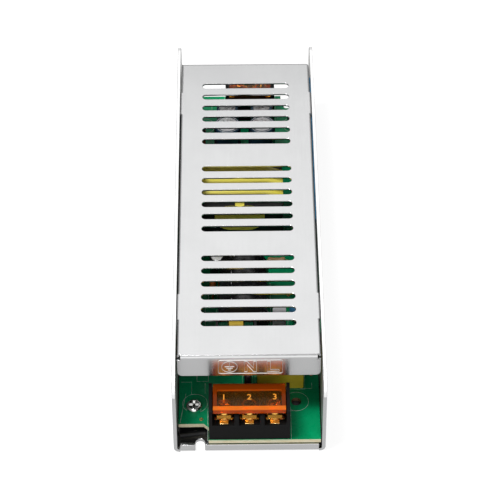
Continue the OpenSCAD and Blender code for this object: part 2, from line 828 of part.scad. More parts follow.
module clamp_washers(ways) {
    for (i = [0 : ways - 1])
        translate([way_x(ways, i), clamp_y, washer_z]) linear_extrude(washer_t) difference() {
            rounded_square(washer_w, washer_w, washer_t);
            circle(clamp_screw_d / 2 + fit);
        }
}

module clamp_screws(ways) {
    for (i = [0 : ways - 1])
        translate([way_x(ways, i), clamp_y, clamp_head_z])
            pan_screw(clamp_screw_d, clamp_head_d, clamp_head_h, clamp_screw_in + plate_t + washer_t);
}

module lid_section() {
    difference() {
        union() {
            translate([lid_front, ear_h - lid_t]) square([lid_d, lid_t]);
            translate([lid_front, ear_h - skirt_h]) square([skirt_t, skirt_h]);
        }
        translate([lid_front, ear_h]) mirror([1, 0]) corner_cutter(lid_edge_r);
        translate([lid_front + lid_d, ear_h]) corner_cutter(lid_edge_r);
    }
}

module hinged_lid(ways) {
    w = block_w(ways) - 2 * (ear_t + lid_gap);
    pin_l = lug_w + lid_gap + ear_t - 2 * fit;
    difference() {
        union() {
            along_x(w) lid_section();
            for (side = [-1, 1]) {
                translate([side * (w - lug_w) / 2, hinge_y, hinge_z])
                    rotate([0, 90, 0]) cylinder(r = lid_tail, h = lug_w, center = true);
                translate([side * (w / 2 - lug_w + pin_l / 2), hinge_y, hinge_z])
                    rotate([0, 90, 0]) cylinder(d = hinge_pin_d, h = pin_l, center = true);
            }
        }
        translate([0, lid_front + window_rim + window_d / 2, ear_h - window_depth])
            linear_extrude(window_depth + cut)
                rounded_square(w - 2 * window_side, window_d, lid_edge_r);
    }
}

module at_input() {
    translate([0, from_input(block_inset), board_top]) children();
}

module at_output() {
    translate([output_block_x, from_output(block_inset), board_top])
        rotate([0, 0, 180]) children();
}

module input_terminal_block() {
    color([0.13, 0.13, 0.14]) at_input() block_body(input_ways);
}

module input_terminal_plates() {
    color("goldenrod") at_input() clamp_plates(input_ways);
}

module input_clamp_washers() {
    color("goldenrod") at_input() clamp_washers(input_ways);
}

module input_terminal_screws() {
    color("goldenrod") at_input() clamp_screws(input_ways);
}

module input_terminal_lid() {
    color("darkorange") at_input() hinged_lid(input_ways);
}

module output_terminal_block() {
    color([0.13, 0.13, 0.14]) at_output() block_body(output_ways);
}

module output_terminal_plates() {
    color("goldenrod") at_output() clamp_plates(output_ways);
}

module output_clamp_washers() {
    color("goldenrod") at_output() clamp_washers(output_ways);
}

module output_terminal_screws() {
    color("goldenrod") at_output() clamp_screws(output_ways);
}

module output_terminal_lid() {
    color("darkorange") at_output() hinged_lid(output_ways);
}

// Input side

module fuse() {
    color([0.15, 0.15, 0.16]) translate([from_left(fuse_side), from_input(fuse_front), board_top])
        rotate_extrude() difference() {
            square([fuse_d / 2, fuse_h]);
            translate([fuse_d / 2, fuse_h]) corner_cutter(can_edge_r);
        }
}

module thermistor() {
    color([0.12, 0.12, 0.13]) translate([thermistor_x, from_input(thermistor_front), board_top])
        leaded_disc(thermistor_d, thermistor_t);
}

module x_capacitor() {
    color("gold") translate([x_cap_x, from_input(x_cap_front), board_top])
        linear_extrude(x_cap_h) rounded_square(x_cap_w, x_cap_d, box_edge_r);
}

module place_choke() {
    translate([choke_x, from_input(choke_front), 0]) children();
}

module choke_core() {
    color([0.16, 0.16, 0.17]) place_choke() along_y(choke_core_d) difference() {
        translate([-choke_core_w / 2, board_top]) square([choke_core_w, choke_core_h]);
        translate([-choke_inner_w / 2, board_top + choke_leg])
            square([choke_inner_w, choke_core_h - 2 * choke_leg]);
    }
}

// Square sleeve round the ring's upper leg
module choke_sleeve(l, wall) {
    along_x(l) difference() {
        square([choke_core_d, choke_leg] + 2 * (core_gap + wall) * [1, 1], center = true);
        square([choke_core_d, choke_leg] + 2 * core_gap * [1, 1], center = true);
    }
}

module choke_disc(l) {
    along_x(l) difference() {
        circle(d = choke_coil_d);
        square([choke_core_d, choke_leg] + 2 * core_gap * [1, 1], center = true);
    }
}

module choke_bobbin() {
    bobbin_l = choke_inner_w - 2 * core_gap;
    color("khaki") place_choke() translate([0, 0, choke_axis_z]) {
        choke_sleeve(bobbin_l, choke_bobbin_t);
        choke_disc(choke_divider_w);
        for (side = [-1, 1])
            translate([side * (bobbin_l - choke_flange_t) / 2, 0, 0]) choke_disc(choke_flange_t);
    }
}

module choke_windings() {
    bobbin_l = choke_inner_w - 2 * core_gap;
    coil_l = (bobbin_l - choke_divider_w) / 2 - choke_flange_t;
    tube = choke_bobbin_t + core_gap;
    color("darkgreen") place_choke() translate([0, 0, choke_axis_z]) for (side = [-1, 1])
        translate([side * (choke_divider_w + coil_l) / 2, 0, 0]) along_x(coil_l - 2 * fit) difference() {
            circle(d = choke_coil_d - choke_flange_t);
            square([choke_core_d, choke_leg] + 2 * (tube + fit) * [1, 1], center = true);
        }
}

module bridge_rectifier() {
    color([0.14, 0.14, 0.15]) translate([bridge_x, from_input(bridge_front), board_top]) {
        translate([0, 0, lead_l]) linear_extrude(bridge_h) rounded_square(bridge_w, bridge_t, box_edge_r);
        for (i = [-1.5 : 1.5])
            translate([i * bridge_w / 4, 0, 0]) cylinder(d = lead_d, h = lead_l + lead_d);
    }
}

module varistor() {
    color("steelblue") translate([varistor_x, from_input(varistor_front), board_top])
        leaded_disc(varistor_d, varistor_t);
}

module film_capacitor() {
    color("lightgray") translate([film_cap_x, from_input(film_cap_front), board_top])
        linear_extrude(film_cap_h) rounded_square(film_cap_w, film_cap_l, box_edge_r);
}

module bulk_capacitor() {
    color([0.1, 0.1, 0.11])
        translate([bulk_x, from_input(bulk_front) + bulk_l, board_top + bulk_d / 2 + fit])
            rotate([90, 0, 0]) can(bulk_d, bulk_l);
}

module y_capacitor() {
    color("chocolate") translate([y_cap_x, from_input(y_cap_front), board_top])
        leaded_disc(y_cap_d, y_cap_t);
}

module bias_capacitor() {
    bias_y = from_input(bulk_front + bulk_l) + bias_gap + bias_d / 2;
    color([0.2, 0.2, 0.22]) translate([bias_x, bias_y, board_top]) can(bias_d, bias_h);
}

module controller_chip() {
    color([0.14, 0.14, 0.15])
        translate([from_left(chip_side), from_input(controller_front), board_top]) chip(chip_l);
}

module resistors() {
    color("burlywood") {
        translate([resistor_x, transformer_y - core_l / 2 - resistor_gap, board_top]) resistor();
        translate([from_left(left_resistor_side), from_input(left_resistor_front), board_top])
            rotate([0, 0, 90]) resistor();
    }
}

// Transformer

module place_transformer() {
    translate([transformer_x, transformer_y, core_z]) children();
}

// One E-shaped half, its legs ending on the XZ plane and its yoke towards -Y
module core_half() {
    half_l = core_l / 2;
    translate([0, -half_l, 0]) linear_extrude(core_h) union() {
        translate([-core_w / 2, 0]) square([core_w, yoke_l]);
        translate([-middle_leg_w / 2, 0]) square([middle_leg_w, half_l]);
        for (side = [-1, 1])
            translate([side * (core_w - leg_w) / 2 - leg_w / 2, 0]) square([leg_w, half_l]);
    }
}

module transformer_core_front() {
    color([0.15, 0.15, 0.16]) place_transformer() core_half();
}

module transformer_core_rear() {
    color([0.15, 0.15, 0.16]) place_transformer() mirror([0, 1, 0]) core_half();
}

// Section of the bobbin's tube round the middle leg, grown by a wall
module leg_section(wall) {
    translate([0, core_h / 2])
        square([middle_leg_w, core_h] + 2 * (core_gap + wall) * [1, 1], center = true);
}

module winding_section() {
    translate([0, core_h / 2])
        rounded_square(2 * winding_half, core_h + 2 * winding_rise, winding_r);
}

module transformer_bobbin() {
    tube_l = winding_l - 2 * core_gap;
    color([0.1, 0.1, 0.1]) place_transformer() {
        along_y(tube_l) difference() {
            leg_section(bobbin_t);
            leg_section(0);
        }
        for (side = [-1, 1]) {
            translate([0, side * (tube_l - bobbin_t) / 2, 0]) along_y(bobbin_t) difference() {
                winding_section();
                leg_section(0);
            }
            translate([-rail_w / 2, side * (winding_l + yoke_l) / 2 - yoke_l / 2 - bobbin_t / 2, -rail_h])
                cube([rail_w, yoke_l + bobbin_t, rail_h - core_gap]);
        }
    }
}

module transformer_winding() {
    winding_w = winding_l - 2 * (core_gap + bobbin_t + fit);
    color("gold") place_transformer() along_y(winding_w) difference() {
        winding_section();
        leg_section(bobbin_t + fit);
    }
}

// Outline of the tape band round the core and the winding, grown by a wall
module band_section(wall) {
    side_x = core_w / 2 + fit + wall;
    shoulder_x = winding_half - winding_r / 2 + wall;
    rise = winding_rise + fit + wall;
    polygon([
        [-side_x, 0], [-shoulder_x, -rise], [shoulder_x, -rise], [side_x, 0],
        [side_x, core_h], [shoulder_x, core_h + rise], [-shoulder_x, core_h + rise], [-side_x, core_h]
    ]);
}

module core_tape() {
    band_l = winding_l - bobbin_t - 2 * core_gap;
    front_y = -core_l / 2 - tape_t;
    color("gold") place_transformer() {
        along_y(band_l) difference() {
            band_section(tape_t);
            band_section(0);
        }
        translate([patch_x, front_y + tape_t / 2, core_h - patch_h])
            along_y(tape_t) cup_section(patch_w, patch_h, patch_r);
        translate([patch_x - strap_w / 2, front_y, core_h - fit]) cube([strap_w, tape_t, tape_t + fit]);
        translate([patch_x - strap_w / 2, front_y, core_h]) cube([strap_w, yoke_l, tape_t]);
    }
}

// Output side

module optocoupler() {
    color([0.16, 0.16, 0.17])
        translate([from_left(chip_side), from_output(opto_end), board_top]) chip(opto_l);
}

module output_choke() {
    color("sienna") translate([from_left(output_choke_side), from_output(output_choke_end), board_top])
        rotate_extrude() difference() {
            square([output_choke_d / 2, output_choke_h]);
            translate([output_choke_d / 2, output_choke_h]) corner_cutter(can_edge_r);
        }
}

module output_capacitors() {
    color([0.1, 0.14, 0.24]) for (side = [-1, 1], row = [0, 1])
        translate([
            output_caps_x + side * output_cap_pitch_x / 2,
            from_output(output_caps_end + row * output_cap_pitch_y),
            board_top
        ]) can(row == 0 ? rear_cap_d : output_cap_d, output_cap_h);
}

module thermal_pad() {
    tab_w = tab_l + 2 * pad_tab_gap;
    color("steelblue") difference() {
        translate([device_back_x, pad_front_y, pad_bottom])
            cube([pad_t, pad_rear_y - pad_front_y, pad_top - pad_bottom]);
        translate([device_back_x - cut, tab_y - tab_w / 2, case_h - tab_h - pad_tab_gap])
            cube([pad_t + 2 * cut, tab_w, tab_h + pad_tab_gap]);
        for (y = device_rows)
            translate([device_back_x - cut, y, device_hole_z])
                rotate([0, 90, 0]) cylinder(d = screw_d + 2 * fit, h = pad_t + 2 * cut);
    }
}

module switching_transistor() {
    color([0.14, 0.14, 0.15]) place_device(transistor_y);
}

module output_rectifiers() {
    color([0.14, 0.14, 0.15]) for (y = rectifier_rows)
        place_device(y);
}

module device_screws() {
    color("lightgray") for (y = device_rows)
        at_wall(1, y, device_hole_z) countersunk_screw(sheet_t + pad_t + device_tab_t + nut_h);
}

module device_nuts() {
    color("silver") for (y = device_rows)
        translate([device_back_x - device_tab_t - nut_h, y, device_hole_z])
            rotate([0, 90, 0]) difference() {
                cylinder(d = nut_af / cos(30), h = nut_h, $fn = 6);
                translate([0, 0, -cut]) cylinder(d = screw_d + 2 * fit, h = nut_h + 2 * cut);
            }
}

// Cover

// Open box with rounded upper edges, hanging from the case's top
module cover_box(w, l, h, side_r, end_r) {
    translate([0, 0, case_h - h]) intersection() {
        along_y(l) cap_section(w, h, side_r);
        along_x(w) cap_section(l, h, end_r);
    }
}

module cover_shell() {
    inner_r = cover_bend_r - cover_t;
    side_cut_l = cover_l - 2 * cover_t;
    difference() {
        cover_box(2 * cover_half, cover_l, flange_h, side_bend_r + cover_t, cover_bend_r);
        translate([0, 0, -cover_t])
            cover_box(2 * (cover_half - cover_t), cover_l - 2 * cover_t, flange_h, side_bend_r, inner_r);
        for (side = [-1, 1]) {
            translate([side * cover_half - cover_bend_r, -side_cut_l / 2, case_h - flange_h - cut])
                cube([2 * cover_bend_r, side_cut_l, flange_h - side_lip_h + cut]);
            for (end = [-1, 1])
                translate([side * cover_half - cover_bend_r, end * tab_y - tab_l / 2, case_h - flange_h])
                    cube([2 * cover_bend_r, tab_l, flange_h + cut]);
        }
    }
}

module cover_tabs() {
    for (end = [-1, 1])
        translate([0, end * tab_y, case_h - tab_h]) difference() {
            along_y(tab_l) difference() {
                cap_section(2 * inner_half, tab_h, side_bend_r + cover_t);
                translate([0, -cover_t])
                    cap_section(2 * (inner_half - cover_t), tab_h, side_bend_r);
            }
            translate([cover_bend_r - cover_half, -tab_l / 2 - cut, 0])
                cube([2 * (cover_half - cover_bend_r), tab_l + 2 * cut, tab_h + cut]);
        }
    for (end = [-1, 1], side = [-1, 1])
        at_wall(side, end * tab_y, cover_screw_z)
            translate([0, 0, -sheet_t - cover_t - tab_collar_h])
                cylinder(d = screw_d + 2 * cover_t, h = tab_collar_h + cover_t / 2);
}

module slot_pattern() {
    for (g = [0 : slot_groups - 1], i = [0 : slots_per_group - 1])
        translate([0, slot_offset_y + (g - (slot_groups - 1) / 2) * group_pitch
            + (i - (slots_per_group - 1) / 2) * slot_pitch])
            slot_outline(slot_l, slot_w);
}

module top_cover() {
    color("lightgray") difference() {
        union() {
            cover_shell();
            cover_tabs();
        }
        translate([0, 0, case_h - cover_t - cut]) linear_extrude(cover_t + 2 * cut) slot_pattern();
        for (side = [-1, 1])
            translate([side * cover_half - corner_cut, -cover_l / 2 - corner_cut, case_h - side_lip_h])
                cube([2 * corner_cut, 2 * corner_cut, side_lip_h + cut]);
        translate([cover_half, cover_l / 2, case_h - flange_h - cut])
            linear_extrude(flange_h + 2 * cut) corner_cutter(rear_corner_r);
        for (side = [-1, 1])
            flange_corner_cut(side);
        for (side = [-1, 1], end = [-1, 1])
            at_wall(side, end * tab_y, cover_screw_z)
                translate([0, 0, -sheet_t - cover_t - tab_collar_h - cut])
                    cylinder(d = screw_d + 2 * fit, h = sheet_t + cover_t + tab_collar_h + 2 * cut);
    }
}

// Rounds the lower corner of both flanges on one side
module flange_corner_cut(side) {
    along_y(cover_l + 2 * cut)
        translate([side * cover_half, case_h - flange_h])
            mirror([side < 0 ? 1 : 0, 0]) mirror([0, 1]) corner_cutter(flange_corner_r);
}

module cover_screws() {
    color("lightgray") for (side = [-1, 1], end = [-1, 1])
        at_wall(side, end * tab_y, cover_screw_z)
            countersunk_screw(sheet_t + cover_t + tab_collar_h);
}

chassis();
insulation_film();
pcb_standoffs();
circuit_board();
pcb_screws();
input_terminal_block();
input_terminal_plates();
input_clamp_washers();
input_terminal_screws();
input_terminal_lid();
output_terminal_block();
output_terminal_plates();
output_clamp_washers();
output_terminal_screws();
output_terminal_lid();
fuse();
thermistor();
x_capacitor();
choke_core();
choke_bobbin();
choke_windings();
bridge_rectifier();
varistor();
film_capacitor();
bulk_capacitor();
y_capacitor();
bias_capacitor();
controller_chip();
resistors();
transformer_core_front();
transformer_core_rear();
transformer_bobbin();
transformer_winding();
core_tape();
optocoupler();
output_choke();
output_capacitors();
thermal_pad();
switching_transistor();
output_rectifiers();
device_screws();
device_nuts();
top_cover();
cover_screws();
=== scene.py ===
import contextlib
import math

import bmesh
import bpy
from mathutils import Matrix, Vector


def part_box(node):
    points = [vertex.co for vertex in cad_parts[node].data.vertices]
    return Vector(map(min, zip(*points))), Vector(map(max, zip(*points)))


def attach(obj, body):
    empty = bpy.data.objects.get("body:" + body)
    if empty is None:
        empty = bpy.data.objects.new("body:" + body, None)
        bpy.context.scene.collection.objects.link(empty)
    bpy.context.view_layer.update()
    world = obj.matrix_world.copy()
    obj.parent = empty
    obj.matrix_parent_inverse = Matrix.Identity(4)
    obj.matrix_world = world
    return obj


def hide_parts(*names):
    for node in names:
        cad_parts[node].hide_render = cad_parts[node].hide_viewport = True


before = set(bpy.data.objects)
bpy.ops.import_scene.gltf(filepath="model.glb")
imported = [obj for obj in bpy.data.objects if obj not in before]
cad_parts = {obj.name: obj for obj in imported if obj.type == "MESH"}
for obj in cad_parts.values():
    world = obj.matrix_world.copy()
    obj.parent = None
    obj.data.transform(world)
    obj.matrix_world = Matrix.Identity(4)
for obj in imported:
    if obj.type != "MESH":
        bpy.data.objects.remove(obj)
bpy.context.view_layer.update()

# Chassis
# The lower half of the case is one tray of satin aluminium sheet: floor, two long walls, a lip at each end.
# It is blanked with its notches and holes, then folded; everything else is screwed or clinched into it.

MM = 0.001
SHARP = math.radians(30)
FLAT = math.radians(0.5)
MERGE = 0.001 * MM
TOLERANCE = 0.01 * MM
BEVEL_ROOM = 1.2
SHEET = 1.2 * MM
CHASSIS_EDGE = 0.14 * MM
# How much of a face's normal lies along an axis
FULLY = 0.9
MOSTLY = 0.5
HARDLY = 0.3


def finish(name, colour, rough, metal=0.0, gloss=0.5):
    """A material with its plain values on its shader's own sockets."""
    material = bpy.data.materials.new(name)
    material.use_nodes = True
    shader = material.node_tree.nodes["Principled BSDF"]
    shader.inputs["Base Color"].default_value = (*colour, 1.0)
    shader.inputs["Roughness"].default_value = rough
    shader.inputs["Metallic"].default_value = metal
    shader.inputs["Specular IOR Level"].default_value = gloss
    return material


def connect(tree, *links):
    """Wires pairs of sockets in a node tree."""
    for near, far in links:
        tree.links.new(near, far)


def vary(material, scale, tints=None, roughs=None, depth=0.0, stretch=(1.0, 1.0, 1.0), spread=(0.35, 0.65)):
    """Lets one noise on Object coordinates vary a finish: its colour, its roughness or its height."""
    tree = material.node_tree
    shader = tree.nodes["Principled BSDF"]
    place = tree.nodes.new("ShaderNodeTexCoord")
    mapping = tree.nodes.new("ShaderNodeMapping")
    mapping.inputs["Scale"].default_value = stretch
    noise = tree.nodes.new("ShaderNodeTexNoise")
    noise.inputs["Scale"].default_value = scale
    noise.inputs["Detail"].default_value = 4.0
    connect(
        tree,
        (place.outputs["Object"], mapping.inputs["Vector"]),
        (mapping.outputs["Vector"], noise.inputs["Vector"]),
    )
    if tints:
        ramp = tree.nodes.new("ShaderNodeValToRGB")
        for stop, where, tint in zip(ramp.color_ramp.elements, spread, tints):
            stop.position = where
            stop.color = (*tint, 1.0)
        connect(
            tree,
            (noise.outputs["Fac"], ramp.inputs["Fac"]),
            (ramp.outputs["Color"], shader.inputs["Base Color"]),
        )
    if roughs:
        span = tree.nodes.new("ShaderNodeMapRange")
        span.inputs["From Min"].default_value, span.inputs["From Max"].default_value = spread
        span.inputs["To Min"].default_value, span.inputs["To Max"].default_value = roughs
        connect(
            tree,
            (noise.outputs["Fac"], span.inputs["Value"]),
            (span.outputs["Result"], shader.inputs["Roughness"]),
        )
    if depth:
        bump = tree.nodes.new("ShaderNodeBump")
        bump.inputs["Distance"].default_value = depth
        connect(
            tree,
            (noise.outputs["Fac"], bump.inputs["Height"]),
            (bump.outputs["Normal"], shader.inputs["Normal"]),
        )
    return material


def linked(name, data):
    """A new object in the scene that holds a mesh, a curve, a lamp or a lens."""
    holder = bpy.data.objects.new(name, data)
    bpy.context.scene.collection.objects.link(holder)
    return holder


def put(name, mesh, finishes, body):
    """Makes a finished mesh a piece that moves with a body."""
    piece = linked(name, mesh)
    mesh.materials.clear()
    for material in finishes:
        mesh.materials.append(material)
    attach(piece, body)
    return piece


def settled(holder):
    """The evaluated shape of an object as a plain mesh; the object itself goes."""
    graph = bpy.context.evaluated_depsgraph_get()
    mesh = bpy.data.meshes.new_from_object(holder.evaluated_get(graph))
    bpy.data.objects.remove(holder)
    return mesh


@contextlib.contextmanager
def edited(mesh):
    """Opens the shape of a mesh for changes and writes it back."""
    shape = bmesh.new()
    shape.from_mesh(mesh)
    yield shape
    shape.to_mesh(mesh)
    shape.free()


def joined_copy(node):
    """A CAD node's loose triangles as one clean mesh."""
    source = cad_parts[node].data
    mesh = bpy.data.meshes.new(node)
    mesh.from_pydata([v.co for v in source.vertices], [], [tuple(p.vertices) for p in source.polygons])
    with edited(mesh) as shape:
        bmesh.ops.remove_doubles(shape, verts=shape.verts, dist=MERGE)
        bmesh.ops.dissolve_limit(shape, angle_limit=FLAT, verts=shape.verts, edges=shape.edges)
    return mesh


def broken_edges(mesh, edge):
    """The mesh with its sharp edges bevelled where they have room, and its flat faces shaded flat."""
    mesh.shade_smooth()
    mesh.set_sharp_from_angle(angle=SHARP)
    with edited(mesh) as shape:
        weight = shape.edges.layers.float.new("bevel_weight_edge")
        for line in shape.edges:
            shortest = min(other.calc_length() for vert in line.verts for other in vert.link_edges)
            line[weight] = float(line.calc_face_angle(0.0) > SHARP and shortest > BEVEL_ROOM * edge)
    holder = linked("edges", mesh)
    bevel = holder.modifiers.new("bevel", "BEVEL")
    bevel.width = edge
    bevel.segments = 2
    bevel.limit_method = "WEIGHT"
    bevel.use_clamp_overlap = False
    shading = holder.modifiers.new("shading", "WEIGHTED_NORMAL")
    shading.keep_sharp = True
    return settled(holder)


def dressed(node, finishes, edge, body="case", choose=None, mesh=None):
    """A copy of a CAD node with broken edges, which stands for the node."""
    mesh = broken_edges(mesh or joined_copy(node), edge)
    piece = put(node + "_finished", mesh, finishes, body)
    if choose:
        for face in mesh.polygons:
            face.material_index = choose(face.center, face.normal)
    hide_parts(node)
    return piece


satin_aluminium = finish("satin_aluminium", (0.5, 0.502, 0.505), 0.2, metal=1.0)
vary(satin_aluminium, 60, tints=((0.49, 0.492, 0.495), (0.51, 0.512, 0.515)))
vary(satin_aluminium, 1500, roughs=(0.19, 0.21), stretch=(1.0, 0.05, 1.0))
# The sheared edge is rougher, as the shear leaves it; its lighter colour is a painted highlight on the
# walls' narrow edges.
sheared_edge_and_painted_highlight = finish("sheared_edge_and_painted_highlight", (0.9, 0.9, 0.9), 0.45, metal=1.0)
vary(sheared_edge_and_painted_highlight, 1400, roughs=(0.4, 0.5), depth=0.01 * MM)
mill_aluminium = finish("mill_aluminium", (0.5, 0.5, 0.495), 0.5, metal=1.0)
vary(mill_aluminium, 900, roughs=(0.45, 0.55), stretch=(1.0, 0.05, 1.0))
wall_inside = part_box("chassis")[1].x - SHEET


def chassis_face(centre, normal):
    """The walls' narrow edges get the rougher sheared finish in a lighter metal, partly a painted
    highlight, and their inner faces keep the dull mill finish.
    """
    on_wall = abs(centre.x) > wall_inside - TOLERANCE
    if on_wall and normal.x * centre.x < 0.0 and abs(normal.x) > FULLY:
        return 2
    return 1 if on_wall and abs(normal.x) < HARDLY and normal.z > -MOSTLY else 0


chassis_finishes = [satin_aluminium, sheared_edge_and_painted_highlight, mill_aluminium]
dressed("chassis", chassis_finishes, CHASSIS_EDGE, choose=chassis_face)

# Insulation film
# A sheet of glossy black polyester lies between the board and the metal and is folded up along both walls.
# It is cut by hand and only held down by the board, so it carries a crease where it was folded.

FILM_EDGE = 0.05 * MM
FILM_LEVEL = 1.0 * MM
CREASE_FROM = Vector((-21.7, -81.4, 0.0)) * MM
CREASE_TO = Vector((-14.2, -80.4, 0.0)) * MM
CREASE_H = 0.35 * MM
CREASE_W = 0.9 * MM
CREASE_CUTS = 6


def cut_across(shape, place, normal):
    """Adds edges where a plane meets a shape."""
    parts = shape.verts[:] + shape.edges[:] + shape.faces[:]
    bmesh.ops.bisect_plane(shape, geom=parts, plane_co=place, plane_no=normal)


film_black = finish("film_black", (0.012, 0.012, 0.013), 0.16)
vary(film_black, 220, roughs=(0.1, 0.24), depth=0.05 * MM, stretch=(1.0, 0.35, 1.0))
film_mesh = broken_edges(joined_copy("insulation_film"), FILM_EDGE)
film_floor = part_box("insulation_film")[0].z
crease = CREASE_TO - CREASE_FROM
crease_line = crease.normalized()
with edited(film_mesh) as film_shape:
    for step in range(-CREASE_CUTS, CREASE_CUTS + 1):
        cut_place = CREASE_FROM + Vector((0.0, step * CREASE_W / 2.0, 0.0))
        cut_across(film_shape, cut_place, crease.cross(Vector((0.0, 0.0, 1.0))))
    for vert in film_shape.verts:
        offset = vert.co - CREASE_FROM
        away = offset - crease_line * offset.dot(crease_line)
        away.z = 0.0
        if vert.co.z < film_floor + FILM_LEVEL:
            vert.co.z += CREASE_H * math.exp(-(away.length / CREASE_W) ** 2)
film = put("insulation_film_finished", film_mesh, [film_black], "case")
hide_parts("insulation_film")

# Board posts
# Four plated steel posts carry the board, each with a threaded bore.
# They are turned from bar and clinched into holes in the floor.

POST_EDGE = 0.08 * MM
BORE_REACH = 1.7 * MM
SCREW_HOLE = Vector((18.7, 73.1)) * MM
BARE_HOLE = Vector((16.0, 70.5)) * MM
board_holes = [
    Vector((-SCREW_HOLE.x, -SCREW_HOLE.y)),
    Vector((SCREW_HOLE.x, SCREW_HOLE.y)),
    Vector((BARE_HOLE.x, -BARE_HOLE.y)),
    Vector((-BARE_HOLE.x, BARE_HOLE.y)),
]


def near_hole(centre, reach):
    """Whether a face lies within reach of the axis of one of the board's holes."""
    return min((centre.xy - hole).length for hole in board_holes) < reach


def post_face(centre, normal):
    """Near-black thread in each post's bore, plating elsewhere."""
    return 1 if near_hole(centre, BORE_REACH) else 0


plated_steel = finish("plated_steel", (0.72, 0.72, 0.71), 0.22, metal=1.0)
vary(plated_steel, 900, roughs=(0.16, 0.32))
dark_thread = finish("dark_thread", (0.03, 0.026, 0.022), 0.6, metal=0.3)
vary(dark_thread, 2000, roughs=(0.5, 0.7), depth=0.08 * MM, stretch=(0.05, 0.05, 1.0))
dressed("pcb_standoffs", [plated_steel, dark_thread], POST_EDGE, choose=post_face)

# Circuit board
# Glass-fibre laminate, routed to shape, with green solder mask over its copper and a printed legend on top.
# Its cut edges show the bare cream laminate. It lies on the posts and is held by two screws.

BOARD_EDGE = 0.06 * MM
HOLE_REACH = 2.1 * MM
board_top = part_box("circuit_board")[1].z


def board_face(centre, normal):
    """Mask on the two faces, laminate on the cut edges and plating in the holes."""
    if abs(normal.z) > MOSTLY:
        return 0
    return 2 if near_hole(centre, HOLE_REACH) else 1


mask_green = finish("mask_green", (0.0, 0.25, 0.095), 0.3, gloss=0.14)
vary(mask_green, 130, tints=((0.0, 0.235, 0.088), (0.0, 0.265, 0.102)), spread=(0.46, 0.54))
vary(mask_green, 900, roughs=(0.26, 0.36), depth=0.004 * MM)
laminate = finish("bare_laminate", (0.96, 0.88, 0.6), 0.75)
vary(laminate, 2500, tints=((0.92, 0.81, 0.51), (1.0, 0.95, 0.71)), stretch=(0.2, 0.2, 1.0))
hole_plating = finish("hole_plating", (0.22, 0.12, 0.05), 0.45, metal=0.6)
vary(hole_plating, 1800, tints=((0.16, 0.08, 0.03), (0.34, 0.2, 0.09)))
dressed("circuit_board", [mask_green, laminate, hole_plating], BOARD_EDGE, choose=board_face)

# Board legend
# A pale ink legend is screen printed on the mask: rings round the holes and outlines round the parts.
# The ink is a few hundredths of a millimetre thick.

INK_LINE = 0.17 * MM
INK_H = 0.03 * MM
RING_R = 4.2 * MM
SCREW_RING = Vector((18.4, 71.0)) * MM
OUTLINE_ROOM = 0.5 * MM
RIM_STEPS = 12
# Largest share of a ring's radius that a fillet can take
ROUND_SHARE = 0.999
outlined = (
    "input_terminal_block", "output_terminal_block", "x_capacitor", "thermistor", "bulk_capacitor",
    "varistor", "film_capacitor", "y_capacitor", "bridge_rectifier", "controller_chip", "optocoupler",
    "choke_core",
)
legend_lines = (
    ((-23.2, -61.2), (-19.6, -61.2), (-19.6, -67.0)),
    ((-15.0, -61.8), (-15.0, -66.5)),
    ((-17.8, -56.5), (-17.8, -61.0), (-13.9, -61.0), (-13.9, -56.5)),
    ((-23.4, -79.6), (-21.5, -66.4)),
    ((17.5, -64.6), (21.5, -64.6), (21.5, -62.0)),
    ((-13.0, 76.0), (-13.0, 82.0), (-10.5, 82.0)),
)


def new_tree(name, inputs):
    """An empty Geometry Nodes tree with named inputs, its input node and its output node."""
    tree = bpy.data.node_groups.new(name, "GeometryNodeTree")
    tree.interface.new_socket("Geometry", in_out="INPUT", socket_type="NodeSocketGeometry")
    tree.interface.new_socket("Geometry", in_out="OUTPUT", socket_type="NodeSocketGeometry")
    for label, kind in inputs.items():
        tree.interface.new_socket(label, in_out="INPUT", socket_type="NodeSocket" + kind)
    return tree, tree.nodes.new("NodeGroupInput"), tree.nodes.new("NodeGroupOutput")


def end_tree(tree, start, end, shape):
    """Closes a tree with real geometry that carries its finish."""
    real = tree.nodes.new("GeometryNodeRealizeInstances")
    coat = tree.nodes.new("GeometryNodeSetMaterial")
    connect(
        tree,
        (shape, real.inputs["Geometry"]),
        (real.outputs["Geometry"], coat.inputs["Geometry"]),
        (start.outputs["Finish"], coat.inputs["Material"]),
        (coat.outputs["Geometry"], end.inputs["Geometry"]),
    )


def grown(holder, tree, values):
    """The plain mesh that a tree makes on an object, with its named inputs set."""
    modifier = holder.modifiers.new("rule", "NODES")
    modifier.node_group = tree
    for socket in tree.interface.items_tree:
        if socket.in_out == "INPUT" and socket.name in values:
            modifier[socket.identifier] = values[socket.name]
    return settled(holder)


def swept_strip(tree, start, curve):
    """Sweeps a flat section, as wide as a line and as high as its ink or burr, along a level curve."""
    section = tree.nodes.new("GeometryNodeCurvePrimitiveQuadrilateral")
    level = tree.nodes.new("GeometryNodeSetCurveNormal")
    level.mode = "Z_UP"
    sweep = tree.nodes.new("GeometryNodeCurveToMesh")
    sweep.inputs["Fill Caps"].default_value = True
    connect(
        tree,
        (start.outputs["Line"], section.inputs["Width"]),
        (start.outputs["Height"], section.inputs["Height"]),
        (curve, level.inputs["Curve"]),
        (level.outputs["Curve"], sweep.inputs["Curve"]),
        (section.outputs["Curve"], sweep.inputs["Profile Curve"]),
    )
    return sweep.outputs["Mesh"]


stroke_tree, stroke_in, stroke_out = new_tree(
    "flat_strokes", {"Line": "Float", "Height": "Float", "Finish": "Material"}
)
stroke_mesh = swept_strip(stroke_tree, stroke_in, stroke_in.outputs["Geometry"])
end_tree(stroke_tree, stroke_in, stroke_out, stroke_mesh)

